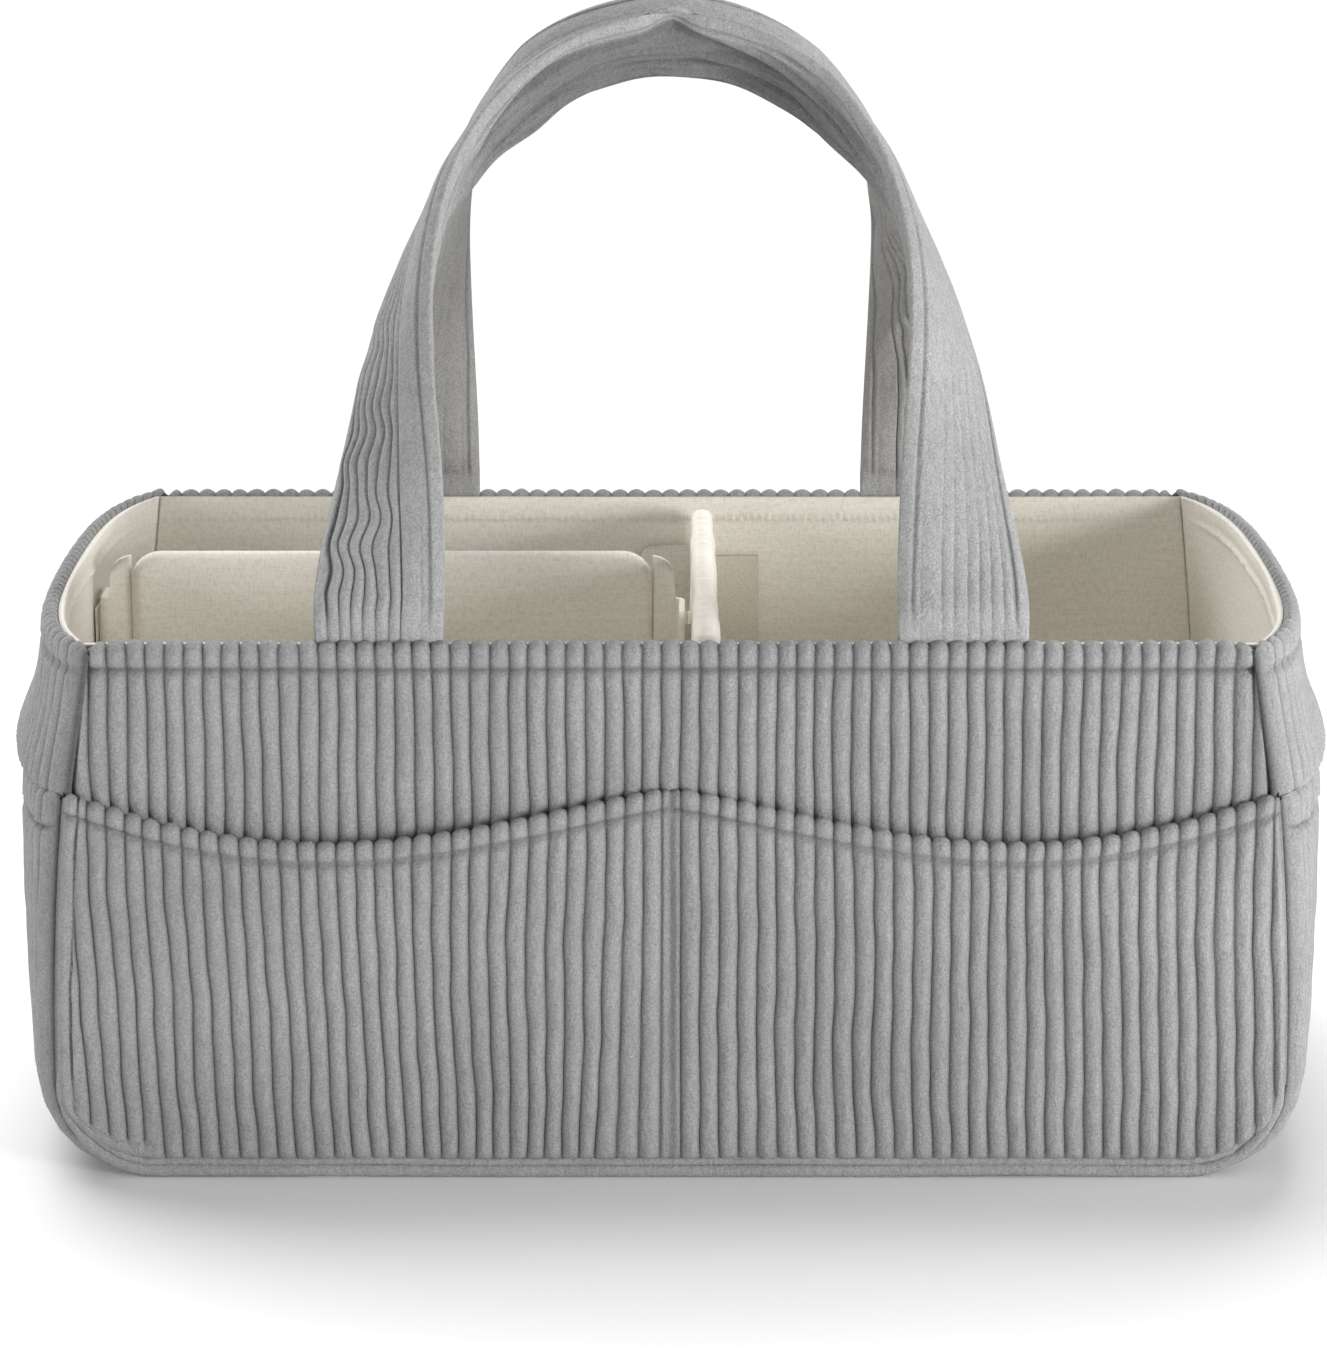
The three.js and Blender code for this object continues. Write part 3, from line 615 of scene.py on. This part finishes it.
def side_pocket(form, name, seed, material):
    """A side pocket, made for the left: fuller than the wall, gathered by the elastic in its turned hem."""
    size = form.size
    end = form.half_depth - 0.0010
    wales = round(2.2 * end / size.wale_pitch)
    radius, crest = 0.0013, SIDE_HEM_HIGH

    def place(u, v, w):
        y = -(2 * u / wales - 1) * end
        near = smooth((end - np.abs(y)) / 0.0030)
        folded = radius * (0.5 + 0.5 * near)
        dipped = crest - 0.0030 * form.mid(y)
        inwards, z, outward, upward = over_edge(v, size.corner, dipped, folded, 0.013 * near)
        foot = np.clip(-v, 0, 1)
        turn = foot * 0.8 * math.pi / 2
        z = np.where(v < 0, size.corner - size.corner * np.sin(turn), z)
        full = np.sin(np.clip(z / crest, 0, 1) * math.pi * POCKET_WAVE) * form.mid(y, 0.55)
        gather = dip(np.maximum(0, dipped - z), 0.020)
        pleat = 0.0010 * wander(u * 2.6, z * 20, seed) * gather * form.mid(y, 0.5)
        channel = dip(dipped - z - 0.0105, STITCH) * (v < 1)
        relief = size.wale_height * wale_rise(u) * (1 + 0.15 * wander(u * 2.3, z * 150, seed + 3))
        relief = relief * (1 - 0.8 * channel) * np.clip(1 + outward, 0, 1) - 0.0008 * channel
        out = relief * near - 0.0004 * (1 - near) - w * size.cloth
        out = out - 0.0008 * foot**2
        off = 0.0014 * near * (1 - 1.4 * smooth(foot)) + 0.0058 * full * (1 - 0.1 * gather) + pleat
        half = form.half_width(y, z, 0) + off - inwards + outward * out
        corner_half, corner_z = form.corner_at(turn, -(off + out), y)
        x = -np.where(v < 0, corner_half, half)
        height = np.where(v < 0, corner_z, z + upward * out + 0.0006 * wander(u * 1.3, 0 * z, seed) * gather)
        drift = 0.0007 * wander(u * 0.6, z * 60, seed + 1) * (1 - (y / end) ** 4)
        # Painted shade in the elastic's stitched channel and along the seams
        sewn = np.maximum(0.75 * channel, 0.5 * dip(end - np.abs(y), SEAM_SHADE) * (v < 1))
        return x, y + drift, height, u, sewn

    rows = stages((-1, 0, 5), (0, 0.8, 18), (0.8, 1, 12), (1, 2, 6), (2, 3, 2))
    return lay_sheet(name, wale_columns(wales), rows, place, material)


# Lining
def lining_relief(size, z, along, seed):
    """Inward unevenness of the lining, with the knotted line that is sewn below the rim."""
    line = size.height - 0.0088 + 0.0003 * wander(along * 300, 0 * z, seed)
    knots = 0.5 + 0.5 * np.sin(along / KNOT_PITCH * 2 * math.pi)
    ridge = dip(z - line, STITCH) * (0.2 + 0.8 * knots)
    band = 0.0005 * dip(z - (size.height - 0.004), 0.003)
    ease = 0.0003 * (1 + wander(along * 45, z * 40, seed))
    return 0.0017 * ridge + band + ease


def end_lining(form, name, seed, material):
    """The lining of the front, from the rim to the base."""
    size = form.size
    top, edge = size.height - 0.0012, form.half_depth - 0.0072

    def place(u, v, w):
        share = 2 * u - 1
        turn = np.clip(v + 1, 0, 1) * math.pi / 2
        foot_z = size.corner - (size.corner - LINING_INSET) * np.cos(turn)
        z = np.where(v < 0, foot_z, size.corner + (top - size.corner) * v)
        swell = form.swell_reach * form.mid(edge)
        round_half = form.flat + (size.corner - LINING_INSET + swell) * np.sin(turn)
        x = np.where(v < 0, round_half, form.half_width(edge, z, LINING_INSET)) * share
        inner = 0.0010 + lining_relief(size, z, x, seed) * (1 - share**8)
        return x, -edge + (1 - w) * inner, z - 0.0006 * w, x, z

    rows = stages((-1, 0, 6), (0, 0.85, 16), (0.85, 1, 26))
    return lay_sheet(name, np.linspace(0, 1, 401), rows, place, material)


def gusset_lining(form, material):
    """The one strip that lines both side walls and the base."""
    size = form.size
    top, end = size.height - 0.0012, form.half_depth - 0.0087

    def place(u, v, w):
        side, down = side_run(v)
        share = 2 * u - 1
        y = share * end
        z = top - (top - size.corner) * np.clip(down, 0, 1)
        inner = 0.0010 + lining_relief(size, z, y, 4 + side) * (1 - share**8)
        inset = LINING_INSET + (1 - w) * inner
        half = form.half_width(y, z, inset) + 0.0006 * form.mid(y)
        pillow = 0.0006 * wander(form.base_half(down) * 40, y * 40, 3)
        pillow = pillow * np.clip(down - 2, 0, 0.2) / 0.2 * (1 - w)
        x, height = form.strip_at(side, down, inset, y, half, z, inset + pillow)
        return x, y, height, y, v * 0.14

    left, right = ((0, 0.15, 26), (0.15, 1, 14)), ((4, 4.85, 14), (4.85, 5, 26))
    rows = stages(*left, (1, 2, 8), (2, 3, 40), (3, 4, 8), *right)
    return lay_sheet("gusset_lining_cloth", np.linspace(0, 1, 161), rows, place, material)


# Handles
class StrapPath:
    """The arch of a handle as the frame has it: the strap faces forward at the rim and twists past a quarter
    turn on its way to the top. A tail at each end goes down into the rim. The higher twist_power, the later
    the twist comes; draw is how far the legs draw in halfway up, and flare how far the feet spread."""

    def __init__(self, size, twist_power, draw, flare):
        joint = next(j for j in frame["joints"] if j["name"] == "front_handle_fold")
        self.hinge_y, self.hinge_z = joint["pos_m"][1], joint["pos_m"][2]
        self.half_span, self.reach = 0.08575, 0.1888
        self.twist_start, self.twist_end, self.top_twist = 0.006, 0.170, 1.714
        self.twist_power, self.draw, self.flare = twist_power, draw, flare
        cos, sin = math.cos(self.top_twist), math.sin(self.top_twist)
        half, edge = size.strap_width / 2, 0.0016
        arm, out = self.reach + half * cos + edge * sin, half * sin - edge * cos
        self.lean = math.asin((-self.hinge_y - 0.001) / math.hypot(arm, out)) - math.atan2(out, arm)
        self.tail = 0.026
        shares = np.linspace(0, 1, 4001)
        x, z = self.arch(shares)
        run = np.concatenate([[0], np.cumsum(np.hypot(np.diff(x), np.diff(z)))])
        self.length = run[-1]
        self.share_at = lambda along: np.interp(along, run, shares)

    def arch(self, share):
        turn = math.pi / 2 * (1 - np.cos(share * math.pi))
        risen = np.maximum(0, np.sin(turn))
        spread = 1 + 0.12 * risen * (0.7 - risen) - 4 * self.draw * risen * (1 - risen)
        return -np.cos(turn) * self.half_span * spread, self.reach * risen**0.576

    def frame_at(self, along):
        """Middle line, tangent and twist at a distance along a strap; below 0 and past its end are tails."""
        inside = np.clip(along, 0, self.length)
        share = self.share_at(inside)
        x, z = self.arch(share)
        ahead, behind = self.arch(np.minimum(share + 0.006, 1)), self.arch(np.maximum(share - 0.006, 0))
        tx, tz = ahead[0] - behind[0], ahead[1] - behind[1]
        norm = np.hypot(tx, tz)
        near = smooth(np.minimum(inside, self.length - inside) / 0.02)
        side = np.where(along < self.length / 2, 1.0, -1.0)
        tx, tz = tx / norm * near, tz / norm * near + side * (1 - near)
        norm = np.hypot(tx, tz)
        risen = np.clip((z - self.twist_start) / (self.twist_end - self.twist_start), 0, 1)
        z = z - (np.maximum(0, -along) + np.maximum(0, along - self.length))
        return x, z, tx / norm, tz / norm, self.top_twist * risen**self.twist_power


def creases(across, along, seed):
    """Folds of a strap's inner face where it goes over the top."""
    fold = np.sin(across * 10 + 3.0 * wander(along * 20, across, seed + 2))
    fold = fold + 0.7 * wander(across * 5, along * 80, seed + 4)
    return fold + 0.6 * np.sin(across * 24 + 5 * wander(along * 30, across * 2, seed + 8))


def strap(path, size, name, seed, material):
    """A padded strap, topstitched near both edges. The cords of its left leg wiggle, those of its right leg
    lie nearly flat. Its left shoulder draws in and its inner face rumples over the top."""
    narrow, wide = 7, 2
    wales = narrow + wide
    half = size.strap_width / 2
    edge_thick, roll_thick, tail_thick = 0.0006, 0.0030, 0.0022

    def place(u, v, inner):
        x0, z0, tx, tz, twist = path.frame_at(v)
        height = np.maximum(0, z0)
        foot = smooth((0.060 - height) / 0.060)
        leg = smooth((0.150 - height) / 0.06) * smooth(height / 0.010)
        top = smooth((height - 0.115) / 0.045)
        tuck = smooth((0.006 - z0) / 0.012)
        left = smooth((0.43 - v / path.length) / 0.12)
        across = np.interp(u, (0, narrow, wales), (-1, 0.34, 1))
        middle = 1 - across**4
        edge = np.maximum(0, 1 - np.abs(across) ** 9) ** 0.5

        wiggle = 0.0011 * leg * left * smooth((0.4 - across) / 0.5)
        wiggle = wiggle * (np.sin(v * 250 + across * 2.5) + 0.4 * np.sin(v * 430 + 1))
        wiggle = wiggle + 0.0005 * wander(across * 2.5, v * 60, seed)
        spread = across + 0.02 * wander(v * 30, 0 * u, seed + 7) * np.sign(across)
        spread = spread * (1 - 0.14 * dip(v - 0.385 * path.length, 0.028) * (across > 0))
        offset = spread * half * (1 - 0.08 * top + path.flare * foot) + wiggle * middle

        thick = roll_thick + (size.strap_thickness - roll_thick) * middle
        thick = edge_thick + (thick - edge_thick) * edge
        thick = thick * (1 - tuck) + np.minimum(thick, tail_thick) * tuck
        corded = np.where(u < narrow, 0.25 + 0.75 * left * (1 - top), 0.15)
        corded = np.maximum(corded + 0.3 * smooth((0.04 - height) / 0.04), 0.6 * top * inner)
        ribs = (0.0011 + 0.0004 * top * inner) * corded * (wale_rise(u) - 1) * edge * (1 - 0.6 * tuck)
        stitch = dip(np.abs(across) * half - (half - 0.0040), 0.0007) * (1 - tuck)
        wave = np.sin(v * 190 + across * 5.0)
        folds = 0.0011 * wave * np.abs(wave) ** 0.5 * left * inner * middle
        folds = folds * smooth((height - 0.03) / 0.02) * smooth((0.135 - height) / 0.03)
        crease = creases(across, v, seed)
        rumple = 0.0012 * crease * middle * top * inner
        rumple = rumple + 0.0005 * wander(across * 2, v * 90, seed + 6) * top
        pinch = 0.0042 * dip(v - 0.5 * path.length, 0.006) * smooth((across - 0.2) / 0.5) * inner
        face = 2 * inner - 1
        depth = face * (thick / 2 + ribs - 0.0008 * stitch - pinch) + (rumple + folds) * edge * (1 - tuck)

        cos, sin = np.cos(twist), np.sin(twist)
        inward = cos * offset + sin * depth
        x, y, z = x0 * (1 + path.flare * foot) + tz * inward, cos * depth - sin * offset, z0 - tx * inward
        lean = path.lean * smooth((z0 + 0.006) / 0.012)
        y, z = y * np.cos(lean) + z * np.sin(lean), z * np.cos(lean) - y * np.sin(lean)
        mirrored = 1 - np.abs(1 - u % 2)
        phase = 0.5 + (mirrored - 0.5) * np.clip(corded, 0.1, 1)
        # Painted shade on the strap's inner face over the top of the arch, deeper in its creases, and in its
        # topstitch furrows
        shade = 0.6 + 0.25 * smooth((height - 0.15) / 0.03) + 0.3 * smooth(-1.3 * crease)
        shade = shade * top * inner * (1 - smooth((across - 0.55) / 0.2))
        sewn = np.clip(np.maximum(0.45 * stitch, shade), 0, 1)
        return x, path.hinge_y + y, path.hinge_z + z, phase, sewn

    edges = np.array([0.03, 0.1])
    columns = np.unique(np.concatenate([wale_columns(wales, EDGE_WALES), edges, wales - edges]))
    return lay_sheet(name, columns, np.linspace(-path.tail, path.length + path.tail, 300), place, material)


# Dividers
class DividerForm:
    """Where a divider's cover stands: along one axis between two ends, from its foot to its rounded top, a
    little over the frame's."""

    def __init__(self, node, along, size):
        low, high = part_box(node)
        self.along = along
        self.start, self.stop = low[along], high[along]
        self.middle = (low[1 - along] + high[1 - along]) / 2
        self.foot, self.top = low.z, high.z + 0.002
        self.thick = size.divider_thickness


def divider_cover(plan, name, seed, material, round_top, follow):
    """A padded cover: flat faces with rolled edges and rounded top corners. Its foot lies flat, or at the
    height that follow gives."""
    lip = 0.0042
    span, rise = plan.stop - plan.start, plan.top - plan.foot
    rolling = np.array([0, 0.0003, 0.001, 0.002, 0.0031, 0.0042, 0.006, 0.008, 0.010])
    columns = np.concatenate([rolling, np.linspace(0.014, span - 0.014, 40), span - rolling[::-1]])
    rows = np.concatenate([[0, 0.001, 0.003], np.linspace(0.008, rise - 0.010, 36), rise - rolling[7::-1]])
    columns, rows = np.unique(columns / span), np.unique(rows / rise)

    def place(u, v, w):
        along = plan.start + u * span
        near = np.minimum(along - plan.start, plan.stop - along)
        drop = round_top - np.sqrt(np.maximum(0, round_top**2 - np.maximum(0, round_top - near) ** 2))
        top = plan.top - drop
        foot = plan.foot if follow is None else follow(along)
        z = foot + (top - foot) * v
        gap = np.minimum(np.minimum(near, top - z), (z - foot) + 0.002)
        rolled = np.sqrt(np.clip(1 - (1 - gap / lip) ** 2, 0, 1)) * (gap < lip) + (gap >= lip)
        puff = 0.0005 * wander(along * 70, z * 70, seed)
        depth = (plan.thick / 2 - 0.0004) * rolled + 0.0004 + puff * (gap >= lip * 0.5)
        through = plan.middle + (2 * w - 1) * np.minimum(depth, plan.thick / 2 + 0.0003)
        if plan.along == 0:
            return along, through, z, along, z
        return through, along, z, along, z

    return lay_sheet(name, columns, rows, place, material)


def end_tab(name, node, corner, reach_way, fold_way, reach_top, seed, material):
    """A divider's end tab: it leaves the padding at a corner, as high as reach_top, then turns and lies along
    what holds it."""
    low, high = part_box(node)
    thick, bend, near_round, far_round = 0.0020, 0.0022, 0.008, 0.006
    fold_axis = 0 if fold_way[0] else 1
    reach, fold = (high[axis] - low[axis] for axis in (1 - fold_axis, fold_axis))
    straight, turned, rest = reach - bend, bend * math.pi / 2, fold - bend - thick / 2

    def place(along, v, w):
        turn = np.clip((along - straight) / bend, 0, math.pi / 2)
        past = np.maximum(0, along - straight - turned)
        out = np.minimum(along, straight) + bend * np.sin(turn)
        side = bend * (1 - np.cos(turn)) + past
        off = (w - 0.5) * thick
        out, side = out + off * np.sin(turn), side - off * np.cos(turn)
        wobble = 0.0003 * wander(along * 120, v * 9, seed)
        rounded = np.clip(near_round - (straight - along), 0, near_round)
        reached = reach_top - near_round + np.sqrt(near_round**2 - rounded**2)
        top = np.where(along < straight, np.maximum(reached, high.z), high.z)
        z = low.z + (top - low.z) * v
        near = np.maximum(0, far_round - (straight + turned + rest - along))
        z = z - v * (far_round - np.sqrt(np.maximum(0, far_round**2 - near**2)))
        x, y = (
            corner[axis] + reach_way[axis] * out + fold_way[axis] * side + wobble * abs(reach_way[1 - axis])
            for axis in (0, 1)
        )
        return x, y, z, along, z

    bent = straight + turned
    columns = stages((0, straight, 12), (straight, bent, 6), (bent, bent + rest, 14))
    return lay_sheet(name, columns, np.linspace(0, 1, 41), place, material)


# The world's strength as light on the object, and each soft square lamp's name, place, power and width
WORLD_LIGHT = 0.15
LAMPS = (
    ("key", (1.3, -1.15, 0.30), 23.5, 0.5),
    ("fill", (-1.4, -1.3, 0.34), 7.0, 0.6),
    ("right_side", (1.3, -0.15, 0.35), 5.0, 0.5),
    ("left_side", (-1.3, -0.15, 0.35), 3.5, 0.5),
)


def set_lamp(name, kind, place, target, **settings):
    data = bpy.data.lights.new(name, kind)
    for setting, value in settings.items():
        setattr(data, setting, value)
    lamp = bpy.data.objects.new(name, data)
    bpy.context.scene.collection.objects.link(lamp)
    lamp.location = place
    x, y, z = (t - p for t, p in zip(target, place))
    lamp.rotation_euler = (math.atan2(math.hypot(x, y), -z), 0, math.atan2(y, x) - math.pi / 2)


# Operators
class CADDY_OT_finishes(bpy.types.Operator):
    """Make the materials and give them to the parts that stay as the frame has them"""

    bl_idname = "caddy.finishes"
    bl_label = "Finishes"

    def execute(self, context):
        colours = context.scene.caddy_colours
        corduroy_finish("wide_wale_corduroy", colours, 1.0)
        # The straps' copy of the corduroy: less painted shade in its grooves and lighter cord tops
        corduroy_finish("strap_corduroy", colours, 0.6, 1.14)
        linen_finish(colours)
        tape = tape_finish(colours)
        board = board_finish(colours)
        for name, node in frame["nodes"].items():
            taped = any(word in name for word in ("strip", "hook", "loop"))
            if taped or name.endswith("_board"):
                node.data.materials.clear()
                node.data.materials.append(tape if taped else board)
        return {"FINISHED"}


class CADDY_OT_panels(bpy.types.Operator):
    """Make the front and the back panel with their rolled seams"""

    bl_idname = "caddy.panels"
    bl_label = "Panels"

    def execute(self, context):
        form = BagForm(context.scene.caddy_sizes)
        cord = bpy.data.materials["wide_wale_corduroy"]
        for end, seed in (("front", 11), ("back", 23)):
            panel = end_panel(form, f"{end}_panel_cloth", seed, cord)
            dress(panel, "bag", "corduroy", f"{end}_panel", f"{end}_rim_band", turned=end == "back")
            roll = piping_roll(form, f"{end}_piping_roll", seed, cord, 0.0022, 0.0021, 0.0012)
            dress(roll, "bag", "corduroy", f"{end}_piping", turned=end == "back")
            welt = piping_roll(form, f"{end}_piping_welt", seed + 3, cord, 0.0051, 0.0013, 0.0007)
            dress(welt, "bag", "corduroy", turned=end == "back")
        return {"FINISHED"}


class CADDY_OT_gusset(bpy.types.Operator):
    """Make the strip of the side walls and the underside"""

    bl_idname = "caddy.gusset"
    bl_label = "Gusset"

    def execute(self, context):
        strip = gusset_strip(BagForm(context.scene.caddy_sizes), bpy.data.materials["wide_wale_corduroy"])
        dress(strip, "bag", "corduroy", "gusset", "left_rim_band", "right_rim_band")
        return {"FINISHED"}


class CADDY_OT_pockets(bpy.types.Operator):
    """Make the scalloped end pockets and the gathered side pockets"""

    bl_idname = "caddy.pockets"
    bl_label = "Pockets"

    def execute(self, context):
        form = BagForm(context.scene.caddy_sizes)
        cord = bpy.data.materials["wide_wale_corduroy"]
        for end, seed in (("front", 31), ("back", 37)):
            pocket = end_pocket(form, f"{end}_pocket_cloth", seed, cord)
            dress(pocket, "bag", "corduroy", f"{end}_pocket", turned=end == "back")
        for side, seed in (("left", 41), ("right", 47)):
            pocket = side_pocket(form, f"{side}_pocket_cloth", seed, cord)
            nodes = (f"{side}_pocket", f"{side}_pocket_elastic")
            dress(pocket, "bag", "corduroy", *nodes, turned=side == "right")
        return {"FINISHED"}


class CADDY_OT_lining(bpy.types.Operator):
    """Make the linen lining"""

    bl_idname = "caddy.lining"
    bl_label = "Lining"

    def execute(self, context):
        form = BagForm(context.scene.caddy_sizes)
        linen = bpy.data.materials["slub_linen"]
        for end, seed in (("front", 51), ("back", 53)):
            sheet = end_lining(form, f"{end}_lining_cloth", seed, linen)
            dress(sheet, "bag", "linen_lining", f"{end}_lining", turned=end == "back")
        dress(gusset_lining(form, linen), "bag", "linen_lining", "gusset_lining")
        return {"FINISHED"}


class CADDY_OT_handles(bpy.types.Operator):
    """Make the two padded strap handles, sewn into the rim"""

    bl_idname = "caddy.handles"
    bl_label = "Handles"

    def execute(self, context):
        size = context.scene.caddy_sizes
        front = StrapPath(size, twist_power=0.82, draw=0, flare=0.032)
        back = StrapPath(size, twist_power=1.0, draw=0.05, flare=0)
        for end, path, seed in (("front", front, 61), ("back", back, 67)):
            piece = strap(path, size, f"{end}_handle_strap", seed, bpy.data.materials["strap_corduroy"])
            if end == "back":
                turn_half(piece)
            nodes = ("handle_sleeve", "handle_padding", "handle_tab_a", "handle_tab_b")
            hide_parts(*(f"{end}_{node}" for node in nodes))
            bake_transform(piece)
        return {"FINISHED"}


class CADDY_OT_dividers(bpy.types.Operator):
    """Make the padded dividers and their end tabs"""

    bl_idname = "caddy.dividers"
    bl_label = "Dividers"

    def execute(self, context):
        size = context.scene.caddy_sizes
        form = BagForm(size)
        linen = bpy.data.materials["slub_linen"]
        cross = DividerForm("cross_divider_cover", 1, size)
        long = DividerForm("long_divider_cover", 0, size)

        def corner_foot(along):
            """The long divider's foot, which rises round the bag's lower corner."""
            turned = np.clip((-form.flat - along) / (-form.flat - long.start), 0, 1)
            return size.corner - (size.corner - long.foot) * np.sqrt(1 - turned**2)

        pads = (("cross_divider", cross, 71, 0.006, None), ("long_divider", long, 73, 0.010, corner_foot))
        for body, plan, seed, round_top, follow in pads:
            cover = divider_cover(plan, f"{body}_pad", seed, linen, round_top, follow)
            dress(cover, body, "linen_lining", f"{body}_cover")
        x, y = cross.middle, long.middle
        tabs = (
            ("cross_divider", "front", cross, (x, cross.start), (0, -1), (1, 0)),
            ("cross_divider", "back", cross, (x, cross.stop), (0, 1), (-1, 0)),
            ("long_divider", "left", long, (long.start, y), (-1, 0), (0, 1)),
            ("long_divider", "right", long, (long.stop, y), (1, 0), (0, -1)),
        )
        for seed, (body, end, plan, corner, reach_way, fold_way) in enumerate(tabs, 81):
            node, reach_top = f"{body}_tab_{end}", plan.top - 0.0015
            tab = end_tab(f"{node}_cloth", node, corner, reach_way, fold_way, reach_top, seed, linen)
            dress(tab, body, "linen_lining", node)
        return {"FINISHED"}


class CADDY_OT_stage(bpy.types.Operator):
    """Set the floor, the lamps and the camera"""

    bl_idname = "caddy.stage"
    bl_label = "Stage"

    def execute(self, context):
        bm = bmesh.new()
        bmesh.ops.create_grid(bm, x_segments=8, y_segments=8, size=6)
        mesh = bpy.data.meshes.new("floor")
        bm.to_mesh(mesh)
        bm.free()
        floor = bpy.data.objects.new("floor", mesh)
        context.scene.collection.objects.link(floor)
        finish = Finish("studio_floor")
        colour = finish.blended(finish.seen(), (0.75, 0.75, 0.75), (1.0, 1.0, 1.0))
        mesh.materials.append(finish.close(colour, roughness=1.0, specular=0.0))

        world = bpy.data.worlds.new("studio")
        world.use_nodes = True
        nodes = Nodes(world.node_tree)
        background = nodes.tree.nodes["Background"]
        level = nodes.math("MULTIPLY_ADD", nodes.seen(), 1 - WORLD_LIGHT, WORLD_LIGHT)
        nodes.feed(background.inputs["Strength"], level)
        nodes.feed(background.inputs["Color"], (1, 1, 1))
        context.scene.world = world

        for name, place, power, width in LAMPS:
            set_lamp(name, "AREA", place, (0, 0, 0.10), shape="SQUARE", size=width, energy=power)
        set_lamp("top", "SUN", (-0.22, 0.70, 1.0), (0, 0, 0), energy=3.3, angle=math.radians(54))

        data = bpy.data.cameras.new("photo_view")
        data.sensor_width = 36
        data.sensor_fit = "HORIZONTAL"
        data.lens = 125.58
        camera = bpy.data.objects.new("photo_view", data)
        camera.location = (-0.0023, -1.476, 0.4965)
        camera.rotation_euler = (math.radians(90 - 13.93), 0, 0)
        context.scene.collection.objects.link(camera)
        context.scene.camera = camera
        context.scene.view_settings.view_transform = "Standard"
        return {"FINISHED"}


STEPS = (
    CADDY_OT_finishes,
    CADDY_OT_panels,
    CADDY_OT_gusset,
    CADDY_OT_pockets,
    CADDY_OT_lining,
    CADDY_OT_handles,
    CADDY_OT_dividers,
    CADDY_OT_stage,
)


class CADDY_PT_sidebar(bpy.types.Panel):
    bl_label = "Corduroy Caddy"
    bl_idname = "CADDY_PT_sidebar"
    bl_space_type = "VIEW_3D"
    bl_region_type = "UI"
    bl_category = "Caddy"

    def draw(self, context):
        for step in STEPS:
            self.layout.operator(step.bl_idname)
        for group in (context.scene.caddy_sizes, context.scene.caddy_colours):
            for name in group.__annotations__:
                self.layout.prop(group, name)


CLASSES = (CaddySizes, CaddyColours, *STEPS, CADDY_PT_sidebar)


def register():
    for cls in CLASSES:
        bpy.utils.register_class(cls)
    bpy.types.Scene.caddy_sizes = PointerProperty(type=CaddySizes)
    bpy.types.Scene.caddy_colours = PointerProperty(type=CaddyColours)


def unregister():
    del bpy.types.Scene.caddy_sizes
    del bpy.types.Scene.caddy_colours
    for cls in reversed(CLASSES):
        bpy.utils.unregister_class(cls)


def main():
    register()
    for step in STEPS:
        group, name = step.bl_idname.split(".")
        getattr(getattr(bpy.ops, group), name)()


if __name__ == "__main__":
    main()
